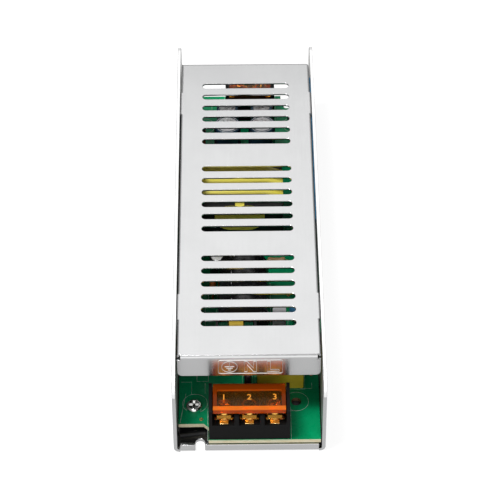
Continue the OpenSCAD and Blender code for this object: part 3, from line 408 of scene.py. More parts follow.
rim_sizes = ("Length", "Width", "Corner", "Line", "Height")
rim_inputs = {**dict.fromkeys(rim_sizes, "Float"), "Finish": "Material"}
rim_tree, rim_in, rim_out = new_tree("rims_at_points", rim_inputs)
rim_path = rim_tree.nodes.new("GeometryNodeCurvePrimitiveQuadrilateral")
rim_round = rim_tree.nodes.new("GeometryNodeFilletCurve")
rim_round.mode = "POLY"
rim_round.inputs["Count"].default_value = RIM_STEPS
rim_place = rim_tree.nodes.new("GeometryNodeInstanceOnPoints")
connect(
    rim_tree,
    (rim_in.outputs["Length"], rim_path.inputs["Width"]),
    (rim_in.outputs["Width"], rim_path.inputs["Height"]),
    (rim_path.outputs["Curve"], rim_round.inputs["Curve"]),
    (rim_in.outputs["Corner"], rim_round.inputs["Radius"]),
    (rim_in.outputs["Geometry"], rim_place.inputs["Points"]),
    (swept_strip(rim_tree, rim_in, rim_round.outputs["Curve"]), rim_place.inputs["Instance"]),
)
end_tree(rim_tree, rim_in, rim_out, rim_place.outputs["Instances"])


def strokes(paths, line, height, material):
    """Flat lines along paths; each path is its points and whether it is closed."""
    curve = bpy.data.curves.new("paths", "CURVE")
    curve.dimensions = "3D"
    for points, closed in paths:
        spline = curve.splines.new("POLY")
        spline.points.add(len(points) - 1)
        for knot, point in zip(spline.points, points):
            knot.co = (*point, 1.0)
        spline.use_cyclic_u = closed
    values = {"Line": line, "Height": height, "Finish": material}
    return grown(linked("strokes", curve), stroke_tree, values)


def point_holder(points, turns=None):
    """An object with nothing but points, and the turn of each, for a tree to place things at."""
    mesh = bpy.data.meshes.new("points")
    mesh.from_pydata(points, [], [])
    if turns:
        turn = mesh.attributes.new("turn", "FLOAT_VECTOR", "POINT")
        for value, angles in zip(turn.data, turns):
            value.vector = angles
    return linked("points", mesh)


def rims(points, length, width, corner, line, height, material):
    """One flat rim of a rounded outline at each point."""
    values = dict(zip(rim_sizes, (length, width, corner, line, height)))
    return grown(point_holder(points), rim_tree, {**values, "Finish": material})


def rings(points, radius, line, height, material):
    """One flat ring at each point."""
    return rims(points, 2.0 * radius, 2.0 * radius, ROUND_SHARE * radius, line, height, material)


def outline(low, high, room, z):
    """A closed rectangle round a part's box."""
    x0, y0, x1, y1 = low.x - room, low.y - room, high.x + room, high.y + room
    return [Vector((x0, y0, z)), Vector((x1, y0, z)), Vector((x1, y1, z)), Vector((x0, y1, z))], True


def merged(meshes):
    """Several meshes of the same finishes as one mesh."""
    whole = bpy.data.meshes.new("merged")
    with edited(whole) as shape:
        for mesh in meshes:
            shape.from_mesh(mesh)
    return whole


legend_ink = finish("legend_ink", (0.45, 0.56, 0.48), 0.6)
vary(legend_ink, 2600, tints=((0.2, 0.36, 0.27), (0.56, 0.64, 0.56)))
ink_z = board_top + INK_H / 2.0
legend_paths = [outline(*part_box(node), OUTLINE_ROOM, ink_z) for node in outlined]
for line in legend_lines:
    legend_paths.append(([Vector((x * MM, y * MM, ink_z)) for x, y in line], False))
ring_places = [(ring.x, ring.y, ink_z) for ring in (-SCREW_RING, SCREW_RING, *board_holes[2:])]
legend_rings = rings(ring_places, RING_R, INK_LINE, INK_H, legend_ink)
legend_mesh = merged([strokes(legend_paths, INK_LINE, INK_H, legend_ink), legend_rings])
put("board_legend", legend_mesh, [legend_ink], "case")

# Plated through holes
# Small copper pads with a drilled hole join the board's two copper layers.
# They are left bare by the mask and show as brown dots in it.

VIA_R = 0.45 * MM
via_places = (
    (-16.2, -78.1), (21.4, -58.2), (-12.0, 79.0), (-17.5, 78.0), (-21.0, 66.0), (13.0, 40.0), (-13.5, 40.5),
    (12.6, 35.6), (-21.5, 44.5), (14.5, -20.0),
)
via_copper = finish("via_copper", (0.5, 0.26, 0.08), 0.35, metal=0.8)
vary(via_copper, 2400, tints=((0.32, 0.14, 0.04), (0.62, 0.36, 0.14)))
via_mesh = rings([(x * MM, y * MM, ink_z) for x, y in via_places], VIA_R, VIA_R, INK_H, via_copper)
put("board_vias", via_mesh, [via_copper], "case")

# Board screws
# Two pan-head machine screws with a cross recess, of bright plated steel.
# They go through the board's holes and pull it down on its posts.

PCB_SCREW_EDGE = 0.1 * MM
bright_steel = finish("bright_steel", (0.82, 0.82, 0.81), 0.14, metal=1.0)
vary(bright_steel, 700, roughs=(0.1, 0.2))
dressed("pcb_screws", [bright_steel], PCB_SCREW_EDGE)

# Terminal blocks
# Each block is one black glass-filled moulding with a chamber for every wire, barriers and two ears.
# It is soldered to the board at its end of the case.

ENDS = ("input", "output")
BLOCK_EDGE = 0.16 * MM
moulding_black = finish("moulding_black", (0.0055, 0.0054, 0.0056), 0.42, gloss=0.08)
vary(moulding_black, 2600, roughs=(0.36, 0.52), depth=0.012 * MM)
for end in ENDS:
    dressed(end + "_terminal_block", [moulding_black], BLOCK_EDGE)

# Terminal hardware
# In every chamber lie a brass plate with a tongue, a square clamp washer and a cross-recess screw.
# They are stamped and turned from brass-plated metal and come with the block.

PLATE_EDGE = 0.08 * MM
CLAMP_EDGE = 0.12 * MM
brass = finish("terminal_brass", (0.83, 0.63, 0.3), 0.2, metal=1.0)
vary(brass, 240, tints=((0.78, 0.57, 0.25), (0.88, 0.69, 0.35)))
vary(brass, 700, roughs=(0.17, 0.24))
# The darker copy of the brass is painted shade on the washers and on the plates' faces that do not face up.
painted_shade_brass = finish("washer_brass_painted_shade", (0.3, 0.19, 0.06), 0.24, metal=1.0)
vary(painted_shade_brass, 240, tints=((0.26, 0.16, 0.05), (0.34, 0.22, 0.075)))
vary(painted_shade_brass, 700, roughs=(0.2, 0.28))


def plate_face(centre, normal):
    """Bright brass on a plate's upper side; where it was cut and bent, a darker copy of the brass as
    painted shade.
    """
    return 0 if normal.z > MOSTLY else 1


for end in ENDS:
    dressed(end + "_terminal_plates", [brass, painted_shade_brass], PLATE_EDGE, choose=plate_face)
    dressed(end + "_clamp_washers", [painted_shade_brass], CLAMP_EDGE)
    dressed(end + "_terminal_screws", [brass], CLAMP_EDGE)

# Terminal lids
# A flip lid of clear amber plastic covers each row of screws and turns on two pins in the block's ears.
# Its window is thinner than its rim, whose front edge gathers light, and the way numbers stand proud in it.
# The rim's top and front, the window's sides and the numbers carry a brighter, less clear amber as painted
# glow, and the frame a dark amber as painted shade.

LID_EDGE = 0.12 * MM
FRONT_RIM = 1.67 * MM
WINDOW_DEPTH = 0.8 * MM
WINDOW_SIDE = 1.3 * MM
WINDOW_LENGTH = 7.3 * MM
WINDOW_SLACK = 0.02 * MM
ABOVE_WINDOW = 0.05 * MM
NUMBER_SIZE = 3.4 * MM
NUMBER_H = 0.16 * MM
NUMBER_Y = -79.8 * MM
NUMBER_SINK = 0.05 * MM
WAY_PITCH = 8.5 * MM


def number_mesh(text):
    """A numeral as a thin solid, with its middle at the origin."""
    curve = bpy.data.curves.new("number", "FONT")
    curve.body = text
    curve.size = NUMBER_SIZE
    curve.extrude = NUMBER_H / 2.0
    curve.align_x = "CENTER"
    curve.align_y = "CENTER"
    return settled(linked("number", curve))


def clear_amber(name, colour, weight):
    """Clear tinted plastic that gets a little deeper in colour with its thickness."""
    material = finish(name, colour, 0.08, gloss=0.25)
    tree = material.node_tree
    shader = tree.nodes["Principled BSDF"]
    shader.inputs["Transmission Weight"].default_value = weight
    shader.inputs["IOR"].default_value = 1.25
    depth = tree.nodes.new("ShaderNodeVolumeAbsorption")
    depth.inputs["Color"].default_value = (1.0, 0.5, 0.05, 1.0)
    depth.inputs["Density"].default_value = 60.0
    connect(tree, (depth.outputs["Volume"], tree.nodes["Material Output"].inputs["Volume"]))
    return vary(material, 160, roughs=(0.05, 0.09), depth=0.002 * MM)


def lid_chooser(low, high, facing, rim_y):
    """Which amber each face gets: clear, painted glow on the rim's top, its front and the window's sides,
    or painted shade on the frame.
    """
    def lid_face(centre, normal):
        behind_rim = facing * (centre.y - rim_y)
        from_side = min(centre.x - low.x, high.x - centre.x)
        if behind_rim < 0.0:
            return 1 if normal.z > MOSTLY and from_side > WINDOW_SIDE else 2
        if centre.z <= high.z - WINDOW_DEPTH + ABOVE_WINDOW:
            return 0
        in_window = from_side > WINDOW_SIDE - WINDOW_SLACK and behind_rim < WINDOW_LENGTH + WINDOW_SLACK
        return 4 if in_window and normal.z < MOSTLY else 3
    return lid_face


# Only the first amber is the plastic itself; the rim, front and window-side copies are painted glow and the
# frame copy is painted shade.
lid_finishes = [
    clear_amber("lid_amber", (0.78, 0.36, 0.05), 0.97),
    clear_amber("lid_amber_rim_painted_glow", (1.0, 0.22, 0.012), 0.45),
    clear_amber("lid_amber_front_painted_glow", (0.8, 0.15, 0.006), 0.6),
    clear_amber("lid_amber_frame_painted_shade", (0.3, 0.045, 0.0015), 0.5),
    clear_amber("lid_amber_edge_painted_glow", (0.8, 0.16, 0.01), 0.4),
]
# The numbers are an opaque bright orange: painted glow of the clear amber.
number_amber_painted_glow = vary(finish("number_amber_painted_glow", (0.95, 0.36, 0.03), 0.3), 900, roughs=(0.25, 0.4))
for end, ways, facing in (("input", 3, 1.0), ("output", 2, -1.0)):
    body = end + "_lid"
    lid_node = end + "_terminal_lid"
    lid_low, lid_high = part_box(lid_node)
    rim_y = lid_low.y + FRONT_RIM if facing > 0.0 else lid_high.y - FRONT_RIM
    lid_mesh = joined_copy(lid_node)
    with edited(lid_mesh) as lid_shape:
        cut_across(lid_shape, (0.0, rim_y, 0.0), (0.0, 1.0, 0.0))
    lid_face = lid_chooser(lid_low, lid_high, facing, rim_y)
    dressed(lid_node, lid_finishes, LID_EDGE, body=body, choose=lid_face, mesh=lid_mesh)
    numerals = []
    for way in range(ways):
        numeral = number_mesh(str(way + 1))
        place = Vector((
            (lid_low.x + lid_high.x) / 2.0 + facing * (way - (ways - 1) / 2.0) * WAY_PITCH,
            facing * NUMBER_Y,
            lid_high.z - WINDOW_DEPTH + NUMBER_H / 2.0 - NUMBER_SINK,
        ))
        turn = Matrix.Rotation(0.0 if facing > 0.0 else math.pi, 4, "Z")
        numeral.transform(Matrix.Translation(place) @ turn)
        numerals.append(numeral)
    put(end + "_lid_numbers", merged(numerals), [number_amber_painted_glow], body)

# Input filter parts
# Behind the input block stand the fuse, the inrush disc, the boxed interference capacitor and the bridge.
# All are coated or moulded parts soldered through the board.

PART_EDGE = 0.1 * MM
DISC_EDGE = 0.08 * MM
YELLOW_BOX_EDGE = 0.3 * MM
part_black = finish("part_black", (0.02, 0.02, 0.021), 0.38)
vary(part_black, 1700, roughs=(0.3, 0.5), depth=0.01 * MM)
disc_black = finish("disc_black", (0.018, 0.018, 0.02), 0.3)
vary(disc_black, 500, roughs=(0.22, 0.42), depth=0.05 * MM)
box_yellow = finish("box_yellow", (0.62, 0.47, 0.03), 0.32)
vary(box_yellow, 220, tints=((0.56, 0.42, 0.025), (0.68, 0.52, 0.04)))
vary(box_yellow, 2200, roughs=(0.26, 0.4), depth=0.006 * MM)
dressed("fuse", [part_black], PART_EDGE)
dressed("thermistor", [disc_black], DISC_EDGE)
dressed("x_capacitor", [box_yellow], YELLOW_BOX_EDGE)
dressed("bridge_rectifier", [part_black], PART_EDGE)

# Filter choke
# Two green enamelled coils sit on a yellow bobbin over the upper leg of a closed ferrite ring.
# The bobbin's wide middle wall keeps the coils apart; its end walls are painted black as painted shade.

CHOKE_CORE_EDGE = 0.15 * MM
BOBBIN_EDGE = 0.08 * MM
DIVIDER_HALF = 2.5 * MM
WIRE_R = 0.36 * MM
COIL_ROOM = 3.7 * MM
COIL_TURNS = 5.0
COIL_LAYERS = 2
# How many wire radii and turns each inner layer of a coil loses
LAYER_DROP = 1.7
LAYER_LOSS = 0.15
COIL_STEPS = 40
WIRE_SIDES = 10
coil_sizes = ("Radius", "Turns", "Length", "Wire")
coil_tree, coil_in, coil_out = new_tree(
    "wire_coils", {**dict.fromkeys(coil_sizes, "Float"), "Turn": "Vector", "Finish": "Material"}
)
coil_path = coil_tree.nodes.new("GeometryNodeCurveSpiral")
coil_path.inputs["Resolution"].default_value = COIL_STEPS
coil_wire = coil_tree.nodes.new("GeometryNodeCurvePrimitiveCircle")
coil_wire.inputs["Resolution"].default_value = WIRE_SIDES
coil_sweep = coil_tree.nodes.new("GeometryNodeCurveToMesh")
coil_sweep.inputs["Fill Caps"].default_value = True
coil_middle = coil_tree.nodes.new("GeometryNodeTransform")
coil_half = coil_tree.nodes.new("ShaderNodeMath")
coil_half.operation = "MULTIPLY"
coil_half.inputs[1].default_value = -0.5
coil_drop = coil_tree.nodes.new("ShaderNodeCombineXYZ")
coil_turn = coil_tree.nodes.new("GeometryNodeTransform")
coil_place = coil_tree.nodes.new("GeometryNodeInstanceOnPoints")
connect(
    coil_tree,
    (coil_in.outputs["Turns"], coil_path.inputs["Rotations"]),
    (coil_in.outputs["Radius"], coil_path.inputs["Start Radius"]),
    (coil_in.outputs["Radius"], coil_path.inputs["End Radius"]),
    (coil_in.outputs["Length"], coil_path.inputs["Height"]),
    (coil_in.outputs["Wire"], coil_wire.inputs["Radius"]),
    (coil_path.outputs["Curve"], coil_sweep.inputs["Curve"]),
    (coil_wire.outputs["Curve"], coil_sweep.inputs["Profile Curve"]),
    (coil_in.outputs["Length"], coil_half.inputs[0]),
    (coil_half.outputs["Value"], coil_drop.inputs["Z"]),
    (coil_sweep.outputs["Mesh"], coil_middle.inputs["Geometry"]),
    (coil_drop.outputs["Vector"], coil_middle.inputs["Translation"]),
    (coil_middle.outputs["Geometry"], coil_turn.inputs["Geometry"]),
    (coil_in.outputs["Turn"], coil_turn.inputs["Rotation"]),
    (coil_in.outputs["Geometry"], coil_place.inputs["Points"]),
    (coil_turn.outputs["Geometry"], coil_place.inputs["Instance"]),
)
end_tree(coil_tree, coil_in, coil_out, coil_place.outputs["Instances"])


def coils(points, radius, turns, length, wire, turn, material):
    """One round coil of wire with its middle at each point."""
    values = dict(zip(coil_sizes, (radius, turns, length, wire)))
    mesh = grown(point_holder(points), coil_tree, {**values, "Turn": turn, "Finish": material})
    mesh.shade_smooth()
    return mesh


ferrite = finish("ferrite", (0.008, 0.008, 0.0085), 0.5, gloss=0.25)
vary(ferrite, 1900, tints=((0.005, 0.005, 0.0055), (0.012, 0.012, 0.013)))
vary(ferrite, 1300, roughs=(0.42, 0.6), depth=0.012 * MM)
bobbin_yellow = finish("bobbin_yellow", (0.72, 0.5, 0.06), 0.4)
vary(bobbin_yellow, 1500, roughs=(0.34, 0.48), depth=0.006 * MM)
enamel_green = finish("enamel_green", (0.006, 0.07, 0.035), 0.22)
vary(enamel_green, 700, tints=((0.004, 0.05, 0.024), (0.009, 0.09, 0.045)))
coil_low, coil_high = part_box("choke_windings")
core_low, core_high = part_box("choke_core")
coil_axis = (coil_low + coil_high) / 2.0
coil_axis.y = (core_low.y + core_high.y) / 2.0
coil_outer = (coil_high.z - coil_low.z) / 2.0


def bobbin_face(centre, normal):
    """The divider is yellow; the end walls are black as painted shade."""
    return 0 if abs(centre.x - coil_axis.x) < DIVIDER_HALF else 1


dressed("choke_core", [ferrite], CHOKE_CORE_EDGE)
dressed("choke_bobbin", [bobbin_yellow, part_black], BOBBIN_EDGE, choose=bobbin_face)
coil_xs = (coil_low.x + COIL_ROOM / 2.0, coil_high.x - COIL_ROOM / 2.0)
coil_points = [(x, coil_axis.y, coil_axis.z) for x in coil_xs]
coil_layers = [
    coils(
        coil_points, coil_outer - WIRE_R * (1.0 + LAYER_DROP * layer), COIL_TURNS - LAYER_LOSS * layer,
        COIL_ROOM - 2.0 * WIRE_R, WIRE_R, (0.0, math.pi / 2.0, 0.0), enamel_green,
    )
    for layer in range(COIL_LAYERS)
]
windings = put("choke_wire", merged(coil_layers), [enamel_green], "case")
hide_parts("choke_windings")

# Coated discs and the film capacitor
# A blue varistor and an orange safety capacitor are dipped discs on two leads.
# The grey film capacitor is a potted plastic box beside them.

GREY_BOX_EDGE = 0.25 * MM
disc_blue = finish("disc_blue", (0.05, 0.24, 0.45), 0.3)
vary(disc_blue, 450, tints=((0.04, 0.2, 0.39), (0.06, 0.27, 0.5)), depth=0.04 * MM)
disc_orange = finish("disc_orange", (0.62, 0.16, 0.02), 0.32)
vary(disc_orange, 450, tints=((0.54, 0.13, 0.015), (0.7, 0.2, 0.03)), depth=0.04 * MM)
box_grey = finish("box_grey", (0.42, 0.42, 0.43), 0.4)
vary(box_grey, 1800, roughs=(0.34, 0.48), depth=0.006 * MM)
dressed("varistor", [disc_blue], DISC_EDGE)
dressed("y_capacitor", [disc_orange], DISC_EDGE)
dressed("film_capacitor", [box_grey], GREY_BOX_EDGE)

# Bulk and bias capacitors
# The large electrolytic lies along the board and is glued down; the small one stands beside it.
# Both are aluminium cans in a shrunk sleeve, closed by a rubber bung; the other end is bare.
# A row of pale dashes along the large one's sleeve marks its polarity.

CAN_EDGE = 0.05 * MM
BARE_END = 0.8
DASH = Vector((0.35, 2.2, 0.04)) * MM
DASH_COUNT = 6
STRIPE_ANGLE = math.radians(-28.0)
bar_tree, bar_in, bar_out = new_tree("bars_at_points", {"Size": "Vector", "Finish": "Material"})
bar_block = bar_tree.nodes.new("GeometryNodeMeshCube")
bar_turn = bar_tree.nodes.new("GeometryNodeInputNamedAttribute")
bar_turn.data_type = "FLOAT_VECTOR"
bar_turn.inputs["Name"].default_value = "turn"
bar_place = bar_tree.nodes.new("GeometryNodeInstanceOnPoints")
connect(
    bar_tree,
    (bar_in.outputs["Size"], bar_block.inputs["Size"]),
    (bar_in.outputs["Geometry"], bar_place.inputs["Points"]),
    (bar_block.outputs["Mesh"], bar_place.inputs["Instance"]),
    (bar_turn.outputs["Attribute"], bar_place.inputs["Rotation"]),
)
end_tree(bar_tree, bar_in, bar_out, bar_place.outputs["Instances"])


def bars(points, turns, size, material):
    """One small flat bar at each point, turned as that point says."""
    return grown(point_holder(points, turns), bar_tree, {"Size": size, "Finish": material})


sleeve_black = finish("sleeve_black", (0.013, 0.013, 0.015), 0.24)
vary(sleeve_black, 400, roughs=(0.18, 0.32), depth=0.01 * MM)
can_aluminium = finish("can_aluminium", (0.78, 0.78, 0.79), 0.3, metal=1.0)
vary(can_aluminium, 900, roughs=(0.24, 0.38))
stripe_grey = vary(finish("stripe_grey", (0.5, 0.5, 0.52), 0.4), 1200, roughs=(0.32, 0.48))
rubber = finish("bung_rubber", (0.016, 0.015, 0.015), 0.7)
vary(rubber, 1500, roughs=(0.6, 0.8), depth=0.01 * MM)
bulk_low, bulk_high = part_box("bulk_capacitor")
bulk_axis = (bulk_low + bulk_high) / 2.0
bulk_r = (bulk_high.x - bulk_low.x) / 2.0


def bulk_face(centre, normal):
    """Bare aluminium in the middle of the rear end, the bung in front, sleeve elsewhere."""
    off_axis = Vector((centre.x - bulk_axis.x, centre.z - bulk_axis.z)).length
    if abs(normal.y) < FULLY or off_axis > BARE_END * bulk_r:
        return 0
    return 1 if normal.y > 0.0 else 2


def bias_face(centre, normal):
    """Bare aluminium on the top, sleeve elsewhere."""
    return 1 if normal.z > FULLY else 0


bulk_finishes = [sleeve_black, can_aluminium, rubber]
dressed("bulk_capacitor", bulk_finishes, CAN_EDGE, choose=bulk_face)
dressed("bias_capacitor", [sleeve_black, can_aluminium], CAN_EDGE, choose=bias_face)
dash_x = bulk_axis.x + bulk_r * math.sin(STRIPE_ANGLE)
dash_z = bulk_axis.z + bulk_r * math.cos(STRIPE_ANGLE)
dash_pitch = (bulk_high.y - bulk_low.y) / DASH_COUNT
dash_points = [(dash_x, bulk_low.y + (dash + 0.5) * dash_pitch, dash_z) for dash in range(DASH_COUNT)]
dash_mesh = bars(dash_points, [(0.0, STRIPE_ANGLE, 0.0)] * DASH_COUNT, DASH, stripe_grey)
put("bulk_polarity_marks", dash_mesh, [stripe_grey], "case")

# Chips and resistors
# The controller and the optocoupler are moulded chips on tinned legs; the resistors are banded.
# All are soldered to the board's upper side, the resistors on bent wire leads.

CHIP_EDGE = 0.06 * MM
LEG_SHARE = 0.41
RESISTOR_R = 1.2 * MM
RESISTOR_L = 6.4 * MM
LEAD_R = 0.4 * MM
LEAD_WIRE_R = 0.7 * LEAD_R
LEAD_REACH = RESISTOR_L / 2.0 + 2.0 * LEAD_R
LEAD_START = 0.45 * RESISTOR_L
# A resistor's outline in shares of its radius and length, and the steps of it that carry a band
resistor_profile = [
    (0.0, -0.5), (0.55, -0.5), (0.9, -0.47), (1.0, -0.42), (1.0, -0.34), (1.0, -0.27), (0.9, -0.22),
    (0.82, -0.15), (0.82, -0.07), (0.82, 0.02), (0.82, 0.1), (0.82, 0.18), (0.9, 0.24), (1.0, 0.29),
    (1.0, 0.36), (1.0, 0.42), (0.9, 0.47), (0.55, 0.5), (0.0, 0.5),
]
BAND_STEPS = {4: 1, 7: 2, 9: 3, 14: 4}
band_colours = {
    "band_brown": (0.13, 0.04, 0.015), "band_black": (0.01, 0.01, 0.01),
    "band_orange": (0.7, 0.2, 0.02), "band_gold": (0.6, 0.42, 0.12),
}
resistor_spots = (
    (Vector((10.5, -4.2, 0.0)) * MM, 0.0),
    (Vector((-19.4, -19.0, 0.0)) * MM, math.pi / 2.0),
)


def leg_chooser(node):
    """Tinned metal outside a chip's moulding."""
    low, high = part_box(node)
    middle = (low.x + high.x) / 2.0
    half = LEG_SHARE * (high.x - low.x)
    return lambda centre, normal: 1 if abs(centre.x - middle) > half + TOLERANCE else 0


def turned(profile, sides=24, bands=None):
    """A round part turned about Z from (radius, height) pairs; the first and last lie on the axis."""
    mesh = bpy.data.meshes.new("turned")
    angles = [math.tau * i / sides for i in range(sides)]
    with edited(mesh) as shape:
        loops = []
        for radius, height in profile:
            spread = angles if radius > 0.0 else angles[:1]
            around = [(radius * math.cos(a), radius * math.sin(a), height) for a in spread]
            loops.append([shape.verts.new(point) for point in around])
        for step, (lower, upper) in enumerate(zip(loops, loops[1:])):
            for i in range(sides):
                j = (i + 1) % sides
                quad = ((lower, i), (lower, j), (upper, j), (upper, i))
                corners = [loop[k % len(loop)] for loop, k in quad]
                face = shape.faces.new(list(dict.fromkeys(corners)))
                face.material_index = (bands or {}).get(step, 0)
                face.smooth = True
        bmesh.ops.recalc_face_normals(shape, faces=shape.faces)
    return mesh


def bent_lead(points):
    """A round wire that goes through a few points with a sharp bend at each."""
    curve = bpy.data.curves.new("lead", "CURVE")
    curve.dimensions = "3D"
    curve.bevel_depth = LEAD_WIRE_R
    curve.bevel_resolution = 3
    curve.use_fill_caps = True
    bend = curve.splines.new("BEZIER")
    bend.bezier_points.add(len(points) - 1)
    for knot, point in zip(bend.bezier_points, points):
        knot.co = point
        knot.handle_left_type = knot.handle_right_type = "VECTOR"
    return settled(linked("lead", curve))


tinned = vary(finish("tinned_leg", (0.74, 0.74, 0.72), 0.28, metal=1.0), 1100, roughs=(0.2, 0.38))
for node in ("controller_chip", "optocoupler"):
    dressed(node, [part_black, tinned], CHIP_EDGE, choose=leg_chooser(node))

resistor_coat = vary(finish("resistor_coat", (0.55, 0.33, 0.16), 0.35), 600, roughs=(0.28, 0.42))
resistor_finishes = [resistor_coat]
for name, tone in band_colours.items():
    resistor_finishes.append(vary(finish(name, tone, 0.4), 900, roughs=(0.32, 0.48)))
resistor_finishes.append(tinned)
resistor_parts = []
for spot, angle in resistor_spots:
    foot_place = spot + Vector((0.0, 0.0, board_top))
    axis_place = foot_place + Vector((0.0, 0.0, RESISTOR_R + LEAD_R))
    coat = turned([(r * RESISTOR_R, h * RESISTOR_L) for r, h in resistor_profile], bands=BAND_STEPS)
    lying = Matrix.Rotation(angle, 4, "Z") @ Matrix.Rotation(math.pi / 2.0, 4, "Y")
    coat.transform(Matrix.Translation(axis_place) @ lying)
    resistor_parts.append(coat)
    along = Vector((math.cos(angle), math.sin(angle), 0.0))
    for side in (-along, along):
        lead = bent_lead((
            foot_place + side * LEAD_REACH, axis_place + side * LEAD_REACH, axis_place + side * LEAD_START,
        ))
        for face in lead.polygons:
            face.material_index = resistor_finishes.index(tinned)
        resistor_parts.append(lead)
resistor_set = put("resistor_set", merged(resistor_parts), resistor_finishes, "case")
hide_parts("resistors")

# Transformer
# Two ferrite E halves close round a black bobbin whose winding is wrapped in yellow polyester tape.
# A band of the same tape is wound round core and winding, and a patch with a strap covers the front yoke.

FERRITE_EDGE = 0.2 * MM
WINDING_EDGE = 0.2 * MM
FORMER_EDGE = 0.12 * MM
TAPE_EDGE = 0.03 * MM
tape_yellow = finish("tape_yellow", (0.78, 0.68, 0.1), 0.26)
vary(tape_yellow, 260, tints=((0.72, 0.62, 0.08), (0.84, 0.74, 0.13)), stretch=(0.15, 1.0, 0.4))
vary(tape_yellow, 480, roughs=(0.2, 0.34), depth=0.03 * MM, stretch=(0.08, 1.0, 0.2))
bobbin_black = finish("bobbin_black", (0.014, 0.014, 0.014), 0.45)
vary(bobbin_black, 2000, roughs=(0.38, 0.54), depth=0.01 * MM)
for half in ("front", "rear"):
    dressed("transformer_core_" + half, [ferrite], FERRITE_EDGE)
dressed("transformer_bobbin", [bobbin_black], FORMER_EDGE)
dressed("transformer_winding", [tape_yellow], WINDING_EDGE)
dressed("core_tape", [tape_yellow], TAPE_EDGE)

# Output filter
# Four electrolytic cans in navy sleeves smooth the output, each with a scored vent in its bare top.
# Beside them stands a small choke, a drum of ferrite wound with enamelled wire.

CAN_ROWS = {"front": 5.0 * MM, "rear": 4.0 * MM}
CAN_TOP = 1.0 * MM
BARE_SHARE = 0.8
SLEEVE_LIP = 0.3 * MM
SLEEVE_LIP_H = 0.14 * MM
SCORE_SHARE = 0.5
SCORE_SECTION = Vector((0.3, 0.06)) * MM
SCORE_ANGLES = [math.radians(angle) for angle in (90.0, 210.0, 330.0)]
DRUM_EDGE = 0.15 * MM
DRUM_CHEEK = 1.6 * MM
DRUM_WAIST = 0.6
DRUM_SIDES = 32
DRUM_WIRE = 0.42 * MM
# How far the wire's middle lies inside the drum's cheeks, in wire radii
DRUM_WIRE_SINK = 1.3
can_low, can_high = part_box("output_capacitors")
can_rows = []
for row, can_r in CAN_ROWS.items():
    row_y = can_low.y + can_r if row == "front" else can_high.y - can_r
    row_x = (can_low.x + CAN_ROWS["front"], can_high.x - CAN_ROWS["front"])
    can_rows.append((can_r, [Vector((x, row_y)) for x in row_x]))


def can_face(centre, normal):
    """Bare aluminium inside the sleeve's rim on each can's top."""
    if normal.z < FULLY or centre.z < can_high.z - CAN_TOP:
        return 0
    bare = any((centre.xy - axis).length < BARE_SHARE * can_r for can_r, axes in can_rows for axis in axes)
    return 1 if bare else 0


sleeve_navy = finish("sleeve_navy", (0.01, 0.035, 0.06), 0.25)
vary(sleeve_navy, 420, tints=((0.008, 0.028, 0.05), (0.013, 0.042, 0.072)), depth=0.01 * MM)
# The vent scores are low bars of a lighter, glossier metal than the can: the score is real, its lighter
# colour a painted glint.
vent_edge_and_painted_glint = vary(finish("vent_edge_and_painted_glint", (0.9, 0.9, 0.9), 0.25, metal=1.0), 1500, roughs=(0.2, 0.32))
dressed("output_capacitors", [sleeve_navy, can_aluminium], CAN_EDGE, choose=can_face)
lip_parts, vent_parts = [], []
for can_r, axes in can_rows:
    tops = [Vector((axis.x, axis.y, can_high.z)) for axis in axes]
    lip_parts.append(rings(tops, BARE_SHARE * can_r, SLEEVE_LIP, SLEEVE_LIP_H, sleeve_navy))
    score_l = SCORE_SHARE * can_r
    score_points, score_turns = [], []
    for top in tops:
        for angle in SCORE_ANGLES:
            score_points.append(top + Vector((math.cos(angle), math.sin(angle), 0.0)) * score_l / 2.0)
            score_turns.append((0.0, 0.0, angle))
    vent_parts.append(bars(score_points, score_turns, (score_l, *SCORE_SECTION), vent_edge_and_painted_glint))
put("can_sleeve_lips", merged(lip_parts), [sleeve_navy], "case")
put("can_vents", merged(vent_parts), [vent_edge_and_painted_glint], "case")

drum_low, drum_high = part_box("output_choke")
drum_axis = (drum_low + drum_high) / 2.0
drum_r = (drum_high.x - drum_low.x) / 2.0
drum_h = drum_high.z - drum_low.z
waist_r = DRUM_WAIST * drum_r
drum_mesh = turned([
    (0.0, 0.0), (drum_r, 0.0), (drum_r, DRUM_CHEEK), (waist_r, DRUM_CHEEK), (waist_r, drum_h - DRUM_CHEEK),
    (drum_r, drum_h - DRUM_CHEEK), (drum_r, drum_h), (0.0, drum_h),
], DRUM_SIDES)
drum_mesh.transform(Matrix.Translation((drum_axis.x, drum_axis.y, drum_low.z)))
drum = put("output_choke_drum", broken_edges(drum_mesh, DRUM_EDGE), [ferrite], "case")
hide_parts("output_choke")
enamel_copper = finish("enamel_copper", (0.42, 0.13, 0.04), 0.25, metal=0.6)
vary(enamel_copper, 800, tints=((0.34, 0.1, 0.03), (0.5, 0.17, 0.06)))
drum_room = drum_h - 2.0 * DRUM_CHEEK - 2.0 * DRUM_WIRE
drum_wire = coils(
    [drum_axis], drum_r - DRUM_WIRE_SINK * DRUM_WIRE, drum_room / (2.0 * DRUM_WIRE), drum_room, DRUM_WIRE,
    (0.0, 0.0, 0.0), enamel_copper,
)
put("output_choke_wire", drum_wire, [enamel_copper], "case")

# Wall devices
# The transistor and the two rectifiers are flat moulded parts, their metal backs on a blue pad at the wall.
# Each is held by a countersunk screw through the wall and a nut, and its legs go down to the board.

DEVICE_EDGE = 0.1 * MM
PAD_EDGE = 0.05 * MM
CSK_EDGE = 0.05 * MM
NUT_EDGE = 0.12 * MM
DEVICE_H = 15.6 * MM
DEVICE_BODY_H = 9.0 * MM
DEVICE_TAB = 1.32 * MM
DEVICE_STEP = 0.2 * MM
device_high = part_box("output_rectifiers")[1]
device_foot = device_high.z - DEVICE_H


